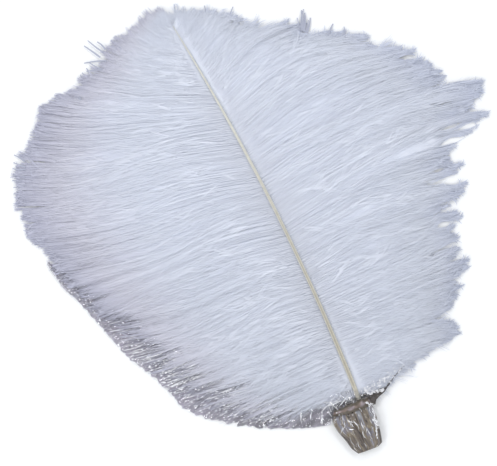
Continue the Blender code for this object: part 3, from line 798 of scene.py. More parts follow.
def loose_mesh(name, side, groups, rng):
    """Short wisps of a few hairs each that lie askew on top of a vane."""
    each, steps = 8, 7
    share = rng.random(groups) * 0.97
    start = rng.uniform(0.06, 0.93, groups) ** 0.8
    reach = reach_of(side, share)
    if side == LEFT:
        start = start * read_table(COVER, share)
    guide = flow(side, share, reach, GUIDE_STEPS)
    index = (start * (GUIDE_STEPS - 1)).astype(int)
    every = np.arange(groups)
    root, step = guide[every, index], guide[every, index + 1] - guide[every, index]
    skew = np.arctan2(step[:, 1], step[:, 0]) + rng.normal(0, math.radians(16.0), groups)
    bend = rng.normal(0, math.radians(34.0), groups)
    length = np.minimum(rng.uniform(0.010, 0.026, groups), (1.0 - start) * reach + 0.001)
    rise = rng.uniform(0.0, 0.00022, groups)
    group = np.repeat(every, each)
    count = groups * each
    mid = (np.arange(steps) + 0.5) / steps
    angle = (skew[group] + rng.normal(0, math.radians(2.5), count))[:, None] + bend[group][:, None] * mid
    length = length[group] * rng.uniform(0.55, 1.0, count)
    first = root[group] + rng.normal(0, 0.0007, (count, 2))
    plan = push_aside(walk(first, angle, (length / steps)[:, None, None]))
    out = np.linspace(0, 1, steps + 1)
    share = share[group][:, None] + np.zeros(steps + 1)
    reached = np.minimum(start[group][:, None] + out * (length / reach[group])[:, None], 1.0)
    z = vane_top(share, reached) + rise[group][:, None] + 0.0002 * np.sin(math.pi * out) - 0.0003
    path = with_height(plan, np.maximum(z, LOWEST_STRAND))
    kept = clear_of_gaps(path, 1.15)
    path, share, reached = path[kept], share[kept], reached[kept]
    half = 0.00012 * (1 - 0.7 * eased(out, 0.6, 1.0)) * rng.uniform(0.8, 1.2, len(path))[:, None]
    shade = lightness(side, share, reached) * rng.uniform(0.97, 1.04, len(path))[:, None]
    return ribbon_mesh(name, path, half, tone_of(path, shade, reached, lilac(side, reached)))


def vane_meshes(side, shape):
    """The meshes of one vane's barbs, in the order that their random numbers are drawn."""
    name = VANES[side].name
    rng = np.random.default_rng(VANES[side].seed)
    strands = Strands(side, rng, shape)
    yield strand_mesh(f"barbs_{name}", strands, shape.strand_width, rng)
    yield tip_mesh(f"tips_{name}", strands, rng)
    lower = strands.share < 0.5
    for half, chosen in (("lower", lower), ("upper", ~lower)):
        hairs = shape.barbules // 2
        yield barbule_mesh(f"barbules_{name}_{half}", strands, chosen, hairs, shape.barbule_length, rng)
    yield stem_mesh(f"stems_{name}", side, shape.stems, rng)
    yield loose_mesh(f"loose_{name}", side, shape.loose_wisps, rng)
    yield frayed_mesh(f"frayed_{name}", side, strands, rng)


# -------------------------------------------------------------------------------- bent grids

def clamped(value):
    """A value held between 0 and 1."""
    return min(max(value, 0.0), 1.0)


def bent_grid(name, rows, columns, place, thickness=0.0, close=False, faceted=False):
    """A grid whose points are moved to place(along, across), each from 0 to 1.

    place gives a point and a tone. A closed grid has its seam merged and its ends filled, and one with a
    thickness gets a second side. A faceted grid keeps its faces flat, as crumpled film does.
    """
    bm = bmesh.new()
    bmesh.ops.create_grid(bm, x_segments=rows, y_segments=columns, size=0.5)
    tone = bm.verts.layers.float_color.new("tone")
    for vert in bm.verts:
        point, value = place(clamped(vert.co.x + 0.5), clamped(vert.co.y + 0.5))
        vert.co = point
        vert[tone] = value
    if close:
        bmesh.ops.remove_doubles(bm, verts=bm.verts, dist=1e-6)
        bmesh.ops.holes_fill(bm, edges=bm.edges, sides=columns + 2)
    bmesh.ops.recalc_face_normals(bm, faces=bm.faces)
    if thickness:
        bmesh.ops.solidify(bm, geom=bm.faces[:], thickness=thickness)
    mesh = bpy.data.meshes.new(name)
    bm.to_mesh(mesh)
    bm.free()
    if faceted:
        mesh.shade_flat()
    else:
        mesh.shade_smooth()
    return mesh


def along_line(points, share):
    """A point on a line of points, at a share of its length."""
    points = np.asarray(points, float)
    lengths = np.concatenate([[0], np.cumsum(np.linalg.norm(np.diff(points, axis=0), axis=1))])
    return np.array([np.interp(share * lengths[-1], lengths, points[:, axis]) for axis in (0, 1)])


def between(line, other, along, across):
    """A point of the strip between two lines, at shares along them and across from the first."""
    start, end = along_line(line, along), along_line(other, along)
    return start + (end - start) * across


def rumple(x, y, z):
    """Smooth noise between about -1 and 1, with cells about 1 long in each number."""
    return noise.noise(Vector((x, y, z)))


def crease(across, along, seed):
    """Sharp creases of crumpled film, up to 1 where they are sharpest, with cells about 1 long."""
    return 1 - 2.4 * abs(rumple(across + seed, along, seed * 0.7))


def vane_body_mesh(side):
    """The body of a vane: a low, thin sheet that the strands lie over, sunk at its edge under the film."""
    steps, widest = 12, 0.86

    def place(along, across):
        share = np.array([along])
        cover = read_table(COVER, share) if side == LEFT else 1.0
        shortened = 0.06 if side == RIGHT else 0.0
        ends = cover * (widest + 0.12 * np.clip(4 * (1 - cover), 0, 1)) - shortened
        path = flow(side, share, reach_of(side, share) * ends, steps)[0]
        x, y = (np.interp(across * steps, np.arange(steps + 1), path[:, axis]) for axis in (0, 1))
        sunk = 0.45 if side == LEFT and cover < 0.97 else 1.0
        reached = across * widest
        z = BODY_HEIGHT * vane_top(share, reached)[0] * (1 - sunk * across ** 8)
        shade = float(lightness(side, share, reached)[0]) * 0.98
        return Vector((x, y, 0.0007 + z)), (shade, 0.2, float(lilac(side, reached)), 1.0)

    return bent_grid(f"vane_body_{VANES[side].name}", 70, 14, place, thickness=0.0003)


def rachis_point(along, across):
    """A tapered rod with a groove along its upper side, which starts past the quill and grows shallow."""
    groove_width, groove_depth = 0.36, 0.75
    distance = SHAFT_LENGTH * along
    turn = 2 * math.pi * across
    radius = float(np.interp(distance, RADIUS_ALONG, SHAFT_RADIUS))
    grooved = float(eased(distance, 0.036, 0.050) * (1 - 0.6 * eased(distance, 0.15, 0.26)))
    dip = grooved * max(0.0, 1 - (math.sin(turn / 2) / groove_width) ** 2)
    middle = shaft_points(np.array([distance]))[0]
    top = math.cos(turn) * radius * (1 - groove_depth * dip)
    local = Vector((0.0, -math.sin(turn) * radius, top))
    way = Matrix.Rotation(float(heading(distance)), 3, "Z")
    return Vector(middle) + way @ local, (dip, along, 0.0, 1.0)


def skirt_point(along, across):
    """Where the film's skirt lies, from the edge among the barbs to its free edge."""
    start = along_line(FILM_INNER_EDGE, along)
    end = along_line(FILM_FREE_EDGE, along ** FILM_LEAD)
    uneven = 1 + 0.05 * rumple(along * 70, 0.0, 8.0)
    uneven += 0.03 * rumple(along * 190, 0.0, 8.0)
    return start + (end - start) * across * uneven


def upper_skirt(along, across):
    """The film's upper layer: ridged and dented all over, raised at the neck and sunk at its free edge."""
    inner_height, arch, neck_height, lowest = 0.0016, 0.0014, 0.0046, 0.0010
    ridge, fine_ridge, dent, dents_a_metre = 0.0006, 0.0003, 0.00070, 870
    x, y = skirt_point(along, across)
    height = inner_height + arch * float(eased(across, 0.05, 0.30)) - arch * across ** 4
    height += neck_height * (1 - min(1.0, along * 7)) ** 2 * (1 - across)
    ridges = ridge * crease(along * 75 + across * 2, across * 2.2, 5.0)
    ridges += fine_ridge * crease(along * 170, across * 5, 9.0)
    dents = dent * rumple(x * dents_a_metre, y * dents_a_metre, 1.0)
    tone = clamped(0.5 + 1.3 * rumple(along * 40, across * 2, 7.0))
    return Vector((x, y, max(height + ridges + dents, lowest))), (tone, along, across, 1.0)


def lower_skirt(along, across):
    """The film's lower layer, which lies almost flat and has soft grey streaks, most of them by the neck."""
    height, ridge, lowest = 0.0005, 0.0003, 0.0002
    x, y = skirt_point(along, across)
    streak = 0.5 + 0.7 * crease(along * 46, across * 1.1, 3.0)
    streak += 0.9 * rumple(along * 30, across * 3, 3.0)
    tone = clamped(streak) * (1 - 0.7 * float(eased(along, 0.09, 0.32)))
    z = height + ridge * crease(along * 60, across * 2, 2.0)
    return Vector((x, y, max(z, lowest))), (tone, along, across, 1.0)


def fold_point(along, across):
    """The short fold on the right, highest at the neck and at its free edge."""
    neck_height, drop, ridge, ridge_size, lowest = 0.0066, 0.0036, 0.0006, 0.004, 0.0003
    x, y = between(FOLD_INNER_EDGE, FOLD_FREE_EDGE, along, across)
    z = (neck_height - drop * along) * (0.45 + 0.55 * across)
    z += ridge * crease(x / ridge_size, y / ridge_size, 2.0)
    tone = 1.0 - 0.25 * float(eased(along, 0.5, 0.8))
    return Vector((x, y, max(z, lowest))), (tone, along, across, 1.0)


def collar_point(along, across):
    """The collar that fans out from the neck over the lowest barbs."""
    neck_height, drop, ridge = 0.0088, 0.0016, 0.0010
    x, y = between(COLLAR_NECK, COLLAR_RIM, along, across)
    z = neck_height - drop * across + ridge * crease(along * 17, across * 0.8, 4.0)
    tone = 0.45 + 1.2 * rumple(along * 11, across, 5.0) - 0.3 * across
    return Vector((x, y, z)), (clamped(tone), along, across, 1.0)


def pouch_point(along, across):
    """A flattened bag with pleats that run from its closed end to its neck."""
    wide_pleat, pleat, fine_pleat, lowest = 0.00100, 0.00050, 0.00035, 0.0003
    turn = 2 * math.pi * across
    left, right = along_line(POUCH_LEFT, along), along_line(POUCH_RIGHT, along)
    middle, half = (left + right) / 2, (right - left) / 2
    lateral = math.cos(turn)
    inside = 0.995 - 0.05 * max(0.0, 1 - along * 9) ** 2
    x, y = middle + half * lateral * inside
    full = min(1.0, 0.30 + along * 2.5) * (0.80 if along > 0.93 else 1.0)
    pleats = wide_pleat * crease(lateral * 3.6 + 0.4 * along, along * 1.1, 1.0)
    pleats += pleat * crease(lateral * 9 + along, along * 3, 6.0)
    pleats += fine_pleat * crease(lateral * 19, along * 8, 8.0)
    pleats *= 1 - 0.65 * float(eased(along, 0.74, 0.84))
    thick = math.sin(turn) * float(np.linalg.norm(half)) * POUCH_FLATNESS
    z = POUCH_HEIGHT + thick * full + pleats * full
    across_at = lateral + 0.09 * rumple(lateral * 3, along * 3, 4.0)
    low, high = (float(read_table(stripes, across_at)) for stripes in (LOW_STRIPES, HIGH_STRIPES))
    tone = low + (high - low) * float(eased(along, 0.30, 0.62))
    tone += 0.22 * rumple(lateral * 9, along * 4, 2.0)
    tone += 2.4 * max(0.0, crease(lateral * 6 + along, along * 1.3, 11.0) - 0.80)
    return Vector((x, y, max(z, lowest))), (clamped(tone), along, across, 1.0)


def band_point(along, across):
    """A strap wound once round the neck, rippled, and thicker at its edges."""
    over_pouch, thicker, ripple_height, lowest = 0.0010, 0.0003, 0.00035, 0.0002
    turn = 2 * math.pi * along
    left, right = (
        np.array(lower) * (1 - across) + np.array(upper) * across
        for lower, upper in zip(BAND_LOWER, BAND_UPPER)
    )
    middle, half = (left + right) / 2, (right - left) / 2
    edge = abs(2 * across - 1)
    swell = 1 + 0.010 * math.sin(9 * turn + 4 * across) + 0.02 * edge ** 4
    x, y = middle + half * math.cos(turn) * swell
    thick = float(np.linalg.norm(half)) * POUCH_FLATNESS + over_pouch + thicker * edge ** 3
    ripple = ripple_height * crease(turn * 4 + across * 1.5, across * 3, 3.0)
    z = POUCH_HEIGHT + math.sin(turn) * (thick + ripple)
    uneven = 0.9 * rumple(turn * 3.4, across * 3, 6.0)
    dark = float(eased(edge + 0.6 * uneven, 0.12, 0.52))
    brown = float(eased(0.5 + 1.4 * rumple(turn * 2.8, across, 9.0), 0.2, 0.8))
    return Vector((x, y, max(z, lowest))), (dark, along, brown, 1.0)


# -------------------------------------------------------------------------------- painted glints

def height_of(surfaces, x, y):
    """The height of the highest of some surfaces at a place, and 0 where there is none."""
    hits = [surface.ray_cast(Vector((x, y, 0.05)), Vector((0.0, 0.0, -1.0)))[0] for surface in surfaces]
    return max([hit.z for hit in hits if hit] + [0.0])


def pointing(angle):
    """A plan unit vector along one angle."""
    return np.array([math.cos(angle), math.sin(angle)])


def bowed(lines, rng):
    """Paths and widths of painted glints from lines that each hold x, y of two ends and a width."""
    lines = np.asarray(lines, float)
    out = np.linspace(0, 1, GLINT_POINTS)
    start, end = lines[:, None, 0:2], lines[:, None, 2:4]
    bow = rng.normal(0, 0.08, len(lines))[:, None] * np.sin(math.pi * out)
    bow = bow + rng.normal(0, 0.03, (len(lines), GLINT_POINTS))
    turned = np.stack([-(end - start)[..., 1], (end - start)[..., 0]], -1)
    return start + (end - start) * out[None, :, None] + turned * bow[..., None], lines[:, 4]


def broken(lines, rng):
    """Wide painted glints broken into short pieces that lie a little askew. Narrow ones stay whole."""
    pieces = []
    for line in lines:
        start, end, width = np.array(line[0:2]), np.array(line[2:4]), line[4]
        if width < 0.001:
            pieces.append(line)
            continue
        way = end - start
        turn = math.atan2(way[1], way[0])
        aside = np.array([-way[1], way[0]]) / np.linalg.norm(way)
        pieces_a_square_metre = 2.6e6
        for _ in range(max(4, round(np.linalg.norm(way) * width * pieces_a_square_metre))):
            middle = start + way * rng.random() + aside * rng.normal(0, 0.30) * width
            angle = turn + rng.normal(0, 0.30)
            half = 0.5 * rng.uniform(0.0006, 0.0017) * pointing(angle)
            pieces.append((*(middle - half), *(middle + half), rng.uniform(0.0003, 0.0009)))
    return pieces


def base_glint_specks(rng, count):
    """Painted glints: specks that lie every way among the right vane's lowest barbs."""
    start, end = np.array(BASE_GLINT_LINE)
    lines = []
    for _ in range(count):
        root = start + (end - start) * rng.random() ** 1.3 + rng.normal(0, 0.0019, 2)
        angle = rng.uniform(0, 2 * math.pi)
        tip = root + rng.uniform(0.0004, 0.0015) * pointing(angle)
        lines.append((*root, *tip, rng.uniform(0.0004, 0.0010)))
    return lines


def edge_glint_specks(rng, count, longest):
    """Short painted glints that lie every way near the skirt's free edge."""
    lines = []
    for _ in range(count):
        along = rng.random() ** 1.3
        edge = along_line(FILM_FREE_EDGE, along)
        inner = along_line(FILM_INNER_EDGE, along ** (1 / FILM_LEAD))
        root = edge + (inner - edge) * abs(rng.normal(0.03, 0.16))
        angle = rng.uniform(0, 2 * math.pi)
        tip = root + rng.uniform(0.5, 1.0) * longest * pointing(angle)
        lines.append((*root, *tip, rng.uniform(0.45, 0.8) * longest))
    return lines


def pouch_highlight_lines(rng, count):
    """Fine painted highlights along the pouch's pleats."""
    lines = []
    for _ in range(count):
        along, lateral = rng.uniform(0.05, 0.8), rng.uniform(-0.9, 0.9)
        ends = []
        for place in (along, along + rng.uniform(0.04, 0.16)):
            left, right = along_line(POUCH_LEFT, place), along_line(POUCH_RIGHT, place)
            ends.extend((left + right) / 2 + (right - left) / 2 * (lateral + rng.normal(0, 0.03)))
        lines.append((*ends, rng.uniform(0.00014, 0.00032)))
    return lines


def along_barbs(rng, count, furthest, shortest, longest):
    """Paths of painted glints that follow the barbs under the skirt."""
    share = furthest * (0.06 + 0.94 * rng.random(count) ** 1.2)
    cover = read_table(COVER, share)
    reach = reach_of(LEFT, share)
    length = rng.uniform(shortest, longest, count) / reach
    start = cover * 0.97 + (1.01 - cover * 0.97 - length) * rng.random(count) ** 0.8
    guide = flow(LEFT, share, reach, GUIDE_STEPS, rng.normal(0, 0.05, (count, 1)))
    out = np.linspace(0, 1, GLINT_POINTS)
    place = np.clip(start[:, None] + length[:, None] * out, 0, 0.999) * GUIDE_STEPS
    low = place.astype(int)
    row = np.arange(count)[:, None]
    return guide[row, low] + (guide[row, low + 1] - guide[row, low]) * (place - low)[..., None]


def glint_mesh(name, path, width, raised, surfaces, rng):
    """Painted glints: narrow white ribbons on the film along plan paths. Raised ones lie on the barbs over a
    vane's body.
    """
    out = np.linspace(0, 1, GLINT_POINTS)
    z = np.array([[height_of(surfaces, x, y) for x, y in row] for row in path])
    path = with_height(path, np.where(raised[:, None], z / BODY_HEIGHT + 0.0010, z + 0.0003))
    uneven = rng.uniform(0.45, 1.3, (len(path), GLINT_POINTS))
    half = 0.5 * width[:, None] * np.sin(math.pi * (0.06 + 0.88 * out)) * uneven
    return ribbon_mesh(name, path, half, tone_of(path, rng.random(len(path))[:, None]))


# -------------------------------------------------------------------------------- materials

def feed(tree, node, inputs):
    """Gives a node's inputs their values: a socket is linked, and a number or colour is set."""
    for name, value in inputs.items():
        if isinstance(value, bpy.types.NodeSocket):
            tree.links.new(value, node.inputs[name])
        else:
            node.inputs[name].default_value = value


def add_node(tree, kind, inputs, **settings):
    """Adds a node with its settings and inputs, and gives its outputs."""
    node = tree.nodes.new("ShaderNode" + kind)
    for setting, value in settings.items():
        setattr(node, setting, value)
    feed(tree, node, inputs)
    return node.outputs


def new_material(name):
    """A material with only its Principled BSDF and output, and the tree to add to."""
    material = bpy.data.materials.new(name)
    material.use_nodes = True
    tree = material.node_tree
    return material, tree, tree.nodes["Principled BSDF"]


def tone_parts(tree):
    """The parts of the tone attribute: Red, Green and Blue."""
    tone = add_node(tree, "Attribute", {}, attribute_name="tone")["Color"]
    return add_node(tree, "SeparateColor", {"Color": tone})


def ramp_of(tree, value, stops):
    """A colour ramp on a value, from (position, colour) stops."""
    ramp = tree.nodes.new("ShaderNodeValToRGB")
    elements = ramp.color_ramp.elements
    while len(elements) < len(stops):
        elements.new(0.5)
    for element, (position, colour) in zip(elements, stops):
        element.position = position
        element.color = opaque(colour)
    tree.links.new(value, ramp.inputs["Fac"])
    return ramp.outputs["Color"]


def opaque(colour):
    """A colour with its alpha of 1."""
    return (*colour, 1.0)


def mixed(tree, factor, first, second, blend="MIX"):
    """Two colours mixed by a factor. Each is a socket or an opaque colour."""
    factor_socket, first_colour, second_colour, mixed_colour = 0, 6, 7, 2
    inputs = {factor_socket: factor, first_colour: first, second_colour: second}
    return add_node(tree, "Mix", inputs, data_type="RGBA", blend_type=blend)[mixed_colour]


def effect_group(name, inputs, output):
    """A new shader node group with its sockets, to be filled."""
    tree = bpy.data.node_groups.new(name, "ShaderNodeTree")
    for socket_name, kind, value in inputs:
        socket = tree.interface.new_socket(socket_name, in_out="INPUT", socket_type=kind)
        if value is not None:
            socket.default_value = value
    tree.interface.new_socket(output[0], in_out="OUTPUT", socket_type=output[1])
    return tree, tree.nodes.new("NodeGroupInput").outputs, tree.nodes.new("NodeGroupOutput").inputs


def grain_group():
    """A colour made lighter and darker by a fine grain."""
    tree, given, result = effect_group("fine_grain", (
        ("Colour", "NodeSocketColor", (0.5, 0.5, 0.5, 1.0)), ("Position", "NodeSocketVector", None),
        ("Scale", "NodeSocketFloat", 420.0), ("Darkest", "NodeSocketFloat", 0.8),
        ("Lightest", "NodeSocketFloat", 1.2),
    ), ("Colour", "NodeSocketColor"))
    grain = add_node(tree, "TexNoise", {"Vector": given["Position"], "Scale": given["Scale"], "Detail": 3.0})
    spread = add_node(tree, "MapRange", {
        "Value": grain["Fac"], "To Min": given["Darkest"], "To Max": given["Lightest"],
    })
    shade = add_node(tree, "VectorMath", {0: given["Colour"], "Scale": spread["Result"]}, operation="SCALE")
    tree.links.new(shade["Vector"], result["Colour"])
    return tree


def crumple_group():
    """A normal with fine creases, as crumpled film has."""
    tree, given, result = effect_group("film_crumple", (
        ("Position", "NodeSocketVector", None), ("Scale", "NodeSocketFloat", 400.0),
        ("Strength", "NodeSocketFloat", 0.3),
    ), ("Normal", "NodeSocketVector"))
    place = {"Vector": given["Position"], "Scale": given["Scale"]}
    cells = add_node(tree, "TexVoronoi", place, feature="SMOOTH_F1")
    bump = add_node(tree, "Bump", {
        "Distance": 0.0002, "Strength": given["Strength"], "Height": cells["Distance"],
    })
    tree.links.new(bump["Normal"], result["Normal"])
    return tree


def add_effect(tree, name, make, **values):
    """Places an effect's group in a material, read at object coordinates and with its own values."""
    node = tree.nodes.new("ShaderNodeGroup")
    node.node_tree = bpy.data.node_groups.get(name) or make()
    place = add_node(tree, "TexCoord", {})["Object"]
    feed(tree, node, {"Position": place, **values})
    return node.outputs[0]


def barb_material(colours):
    """Silky white keratin, greyer towards the barbs' ends and in the vane's depth by painted shade."""
    material, tree, shader = new_material("silky_barbs")
    red, green, blue = tone_parts(tree)
    colour = ramp_of(tree, green, (
        (0.0, colours.barb_root), (0.16, colours.barb), (0.78, colours.barb), (1.0, colours.barb_tip),
    ))
    tinge = ramp_of(tree, blue, ((0.0, (1.0, 1.0, 1.0)), (1.0, colours.tinge)))
    tinted = add_node(tree, "VectorMath", {0: colour, 1: tinge}, operation="MULTIPLY")["Vector"]
    shade = add_node(tree, "VectorMath", {0: tinted, "Scale": red}, operation="SCALE")["Vector"]
    feed(tree, shader, {"Base Color": shade, "Roughness": 0.55, "Specular IOR Level": 0.35})
    return material


def shaft_material(colours):
    """Horn, cream on its ridges and paler towards its tip, with painted shade that darkens its groove."""
    material, tree, shader = new_material("horn")
    dip, along, _ = tone_parts(tree)
    horn = ramp_of(tree, along, ((0.15, colours.shaft), (0.75, colours.shaft_tip)))
    # Painted shade: the groove's tint darkens the horn in the groove.
    colour = mixed(tree, dip, horn, opaque(colours.groove), "MULTIPLY")
    colour = add_effect(
        tree, "fine_grain", grain_group, Colour=colour, Scale=420.0, Darkest=0.80, Lightest=1.15
    )
    feed(tree, shader, {"Base Color": colour, "Roughness": 0.42})
    return material


def clear_film_material(name, stops, size, dents, ior, roughness, clearness, cover):
    """Crumpled film, coloured by its tone. dents is how strong its finest creases are."""
    material, tree, shader = new_material(name)
    feed(tree, shader, {
        "Base Color": ramp_of(tree, tone_parts(tree)["Red"], stops),
        "Normal": add_effect(tree, "film_crumple", crumple_group, Scale=1 / size, Strength=dents),
        "Roughness": roughness, "IOR": ior, "Transmission Weight": clearness, "Alpha": cover,
    })
    return material


def shaded(colour, share):
    """A colour darkened to a share of itself."""
    return [share * part for part in colour]


def film_material(colours):
    """The film's upper layer and collar, clear with a grey haze."""
    stops = ((0.0, colours.film), (1.0, shaded(colours.film, 0.88)))
    return clear_film_material("clear_film", stops, 0.0020, 0.15, 1.65, 0.07, 1.0, 0.55)


def lower_film_material(colours):
    """The film's lower layer, lilac with grey streaks."""
    stops = ((0.0, colours.film_under), (1.0, shaded(colours.film_under, 0.38)))
    return clear_film_material("lower_film", stops, 0.0040, 0.5, 1.45, 0.10, 0.4, 1.0)


def pouch_material(colours):
    """The gathered film of the pouch and the fold, striped along its pleats."""
    stops = (
        (0.0, colours.pouch), (0.30, colours.pouch_grey), (0.50, colours.pouch_gold),
        (0.72, colours.pouch_shade), (1.0, colours.pouch_fold),
    )
    return clear_film_material("pouch_film", stops, 0.0016, 0.6, 1.6, 0.16, 0.4, 1.0)


def glint_material(colours):
    """Painted glints: white that stands for the film's highlights, duller in some."""
    material, tree, shader = new_material("painted_glint")
    duller = shaded(colours.painted_glint, 0.86)
    colour = ramp_of(tree, tone_parts(tree)["Red"], ((0.3, duller), (0.9, colours.painted_glint)))
    colour = add_effect(
        tree, "fine_grain", grain_group, Colour=colour, Scale=900.0, Darkest=0.85, Lightest=1.1
    )
    feed(tree, shader, {"Base Color": colour, "Roughness": 0.3})
    return material


def band_material(colours):
    """A creased strap, browner in stretches and dark along both edges."""
    material, tree, shader = new_material("creased_band")
    dark, _, brown = tone_parts(tree)
    strap = mixed(tree, brown, opaque(colours.band), opaque(colours.band_tan))
    colour = mixed(tree, dark, strap, opaque(colours.band_edge))
    colour = add_effect(
        tree, "fine_grain", grain_group, Colour=colour, Scale=520.0, Darkest=0.35, Lightest=1.65
    )
    normal = add_effect(tree, "film_crumple", crumple_group, Scale=900.0, Strength=0.5)
    feed(tree, shader, {"Base Color": colour, "Normal": normal, "Roughness": 0.40})
    return material


def floor_material(colours):
    """A plain pale surface."""
    material, tree, shader = new_material("pale_surface")
    feed(tree, shader, {"Base Color": opaque(colours.floor), "Roughness": 0.9})
    return material


def shared_material(name, make):
    """The scene's material of this name, made on first use."""
    return bpy.data.materials.get(name) or make(bpy.context.scene.plume_colours)


def link_object(name, data):
    """A new object at the origin, linked to the scene."""
    made = bpy.data.objects.new(name, data)
    bpy.context.scene.collection.objects.link(made)
    return made


def place_piece(mesh, material, slot, *nodes):
    """Links a finished mesh as a piece of the part, under the mesh's own name."""
    piece = link_object(mesh.name, mesh)
    piece.data.materials.append(material)
    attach(piece, "root")
    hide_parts(*nodes)
    return piece


# -------------------------------------------------------------------------------- operators

class PLUME_OT_barbs(bpy.types.Operator):
    """Both vanes: long strands in wisps and tufts, the side hairs on them, and bare stems beside the shaft"""

    bl_idname = "plume.barbs"
    bl_label = "Barbs"

    def execute(self, context):
        material = shared_material("silky_barbs", barb_material)
        for side in VANES:
            for mesh in vane_meshes(side, context.scene.plume_shape):
                place_piece(mesh, material, "barbs", "feather")
        fibres = fibre_mesh("edge_fibres", np.random.default_rng(31))
        place_piece(fibres, material, "barbs", "feather")
        return {"FINISHED"}


class PLUME_OT_bed(bpy.types.Operator):
    """The body of both vanes, which the strands lie over"""

    bl_idname = "plume.bed"
    bl_label = "Vane bodies"

    def execute(self, context):
        material = shared_material("silky_barbs", barb_material)
        for side in VANES:
            place_piece(vane_body_mesh(side), material, "barbs", "feather")
        return {"FINISHED"}


class PLUME_OT_rachis(bpy.types.Operator):
    """The quill and rachis: a tapered rod with a groove along its upper side"""

    bl_idname = "plume.rachis"
    bl_label = "Rachis"

    def execute(self, context):
        mesh = bent_grid("rachis", 110, 24, rachis_point, close=True)
        place_piece(mesh, shared_material("horn", shaft_material), "shaft", "feather")
        return {"FINISHED"}


class PLUME_OT_film(bpy.types.Operator):
    """The crumpled film: a skirt of two layers at the left vane's edge, a fold, a collar and a pouch"""

    bl_idname = "plume.film"
    bl_label = "Film"

    def execute(self, context):
        clear = shared_material("clear_film", film_material)
        lower = shared_material("lower_film", lower_film_material)
        gathered = shared_material("pouch_film", pouch_material)
        for name, rows, columns, place, material, flat in (
            ("film_upper", 330, 26, upper_skirt, clear, (0.32, 0.050)),
            ("film_lower", 200, 12, lower_skirt, lower, (0.32, 0.050)),
            ("film_fold", 40, 8, fold_point, gathered, (0.044, 0.012)),
            ("film_collar", 60, 8, collar_point, clear, (0.048, 0.014)),
        ):
            mesh = bent_grid(name, rows, columns, place, thickness=FILM_THICKNESS, faceted=True)
            piece = place_piece(mesh, material, "film", "film_wrap")
        mesh = bent_grid("film_pouch", 44, 110, pouch_point, POUCH_THICKNESS, close=True, faceted=True)
        place_piece(mesh, gathered, "film", "film_wrap")
        return {"FINISHED"}


class PLUME_OT_band(bpy.types.Operator):
    """The flat band wound round the film's neck"""

    bl_idname = "plume.band"
    bl_label = "Band"

    def execute(self, context):
        mesh = bent_grid("band_strip", 120, 12, band_point)
        place_piece(mesh, shared_material("creased_band", band_material), "band", "band")
        return {"FINISHED"}


class PLUME_OT_painted_glints(bpy.types.Operator):
    """Painted glints: white ribbons that stand for highlights on the skirt, the collar, the pouch and the
    right vane's lowest barbs
    """

    bl_idname = "plume.creases"
    bl_label = "Creases"

    def execute(self, context):
        surfaces = []
        for name in (
            "film_upper", "film_fold", "film_collar", "film_pouch", "band_strip", "vane_body_right",
        ):
            mesh = bpy.data.objects[name].data
            corners = [vert.co for vert in mesh.vertices]
            surfaces.append(BVHTree.FromPolygons(corners, [face.vertices for face in mesh.polygons]))
        rng = np.random.default_rng(47)
        over_barbs = broken(BASE_PAINTED_GLINTS, rng) + base_glint_specks(rng, 110)
        lines = broken(PAINTED_GLINTS, rng) + edge_glint_specks(rng, 150, 0.0009) + edge_glint_specks(rng, 44, 0.0016)
        path, width = bowed(over_barbs + lines + pouch_highlight_lines(rng, 34), rng)
        raised_lines = len(over_barbs)
        kinds = (SHORT_PAINTED_GLINTS, LONG_PAINTED_GLINTS)
        path = np.concatenate([path] + [along_barbs(rng, *kind[:4]) for kind in kinds])
        width = np.concatenate([width] + [rng.uniform(*kind[4:], kind[0]) for kind in kinds])
        raised = np.arange(len(path)) < raised_lines
        mesh = glint_mesh("film_painted_glints", path, width, raised, surfaces, rng)
        place_piece(mesh, shared_material("painted_glint", glint_material), "film", "film_wrap")
        return {"FINISHED"}


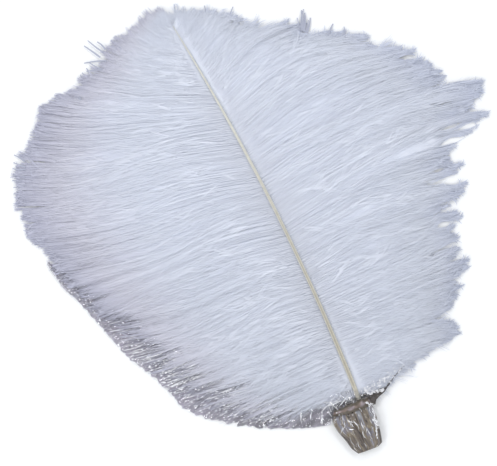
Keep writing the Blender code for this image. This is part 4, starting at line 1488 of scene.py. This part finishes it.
class PLUME_OT_stage(bpy.types.Operator):
    """A pale surface, soft studio light and a camera that looks straight down"""

    bl_idname = "plume.stage"
    bl_label = "Stage"

    def execute(self, context):
        scene = context.scene
        scene.view_settings.view_transform = "Standard"
        world = bpy.data.worlds.new("soft_room")
        world.use_nodes = True
        background = world.node_tree.nodes["Background"]
        room = opaque(scene.plume_colours.room)
        feed(world.node_tree, background, {"Color": room, "Strength": ROOM_LIGHT})
        scene.world = world
        bm = bmesh.new()
        bmesh.ops.create_grid(bm, x_segments=1, y_segments=1, size=SURFACE_HALF)
        mesh = bpy.data.meshes.new("surface")
        bm.to_mesh(mesh)
        bm.free()
        floor = link_object("surface", mesh)
        floor.data.materials.append(shared_material("pale_surface", floor_material))
        for name, spot, size, power in LAMPS:
            light = bpy.data.lights.new(name, "AREA")
            light.size = size
            light.energy = power
            lamp = link_object(name, light)
            lamp.location = spot
            lamp.rotation_euler = (-Vector(spot)).to_track_quat("-Z", "Y").to_euler()
        camera = bpy.data.cameras.new("camera")
        camera.lens = VIEW_LENS
        camera.sensor_width = VIEW_SENSOR
        eye = link_object("camera", camera)
        eye.location = VIEW_CENTRE + Vector((0, 0, VIEW_PLANE + VIEW_WIDTH * VIEW_LENS / VIEW_SENSOR))
        eye.rotation_euler = (0.0, 0.0, VIEW_TURN)
        scene.camera = eye
        return {"FINISHED"}


class PLUME_PT_panel(bpy.types.Panel):
    """Lists the plume's operators"""

    bl_idname = "PLUME_PT_panel"
    bl_label = "Ostrich Plume"
    bl_space_type = "VIEW_3D"
    bl_region_type = "UI"
    bl_category = "Plume"

    def draw(self, context):
        for operator in OPERATORS:
            self.layout.operator(operator.bl_idname)


OPERATORS = (
    PLUME_OT_stage, PLUME_OT_rachis, PLUME_OT_bed, PLUME_OT_barbs, PLUME_OT_film, PLUME_OT_band,
    PLUME_OT_painted_glints,
)
CLASSES = (PlumeShape, PlumeColours, *OPERATORS, PLUME_PT_panel)


def register():
    for made in CLASSES:
        bpy.utils.register_class(made)
    bpy.types.Scene.plume_shape = bpy.props.PointerProperty(type=PlumeShape)
    bpy.types.Scene.plume_colours = bpy.props.PointerProperty(type=PlumeColours)


def unregister():
    del bpy.types.Scene.plume_colours
    del bpy.types.Scene.plume_shape
    for made in reversed(CLASSES):
        bpy.utils.unregister_class(made)


def main():
    register()
    bpy.ops.plume.stage()
    bpy.ops.plume.rachis()
    bpy.ops.plume.bed()
    bpy.ops.plume.barbs()
    bpy.ops.plume.film()
    bpy.ops.plume.band()
    # Painted glints: white ribbons that stand for the film's highlights.
    bpy.ops.plume.creases()


if __name__ == "__main__":
    main()
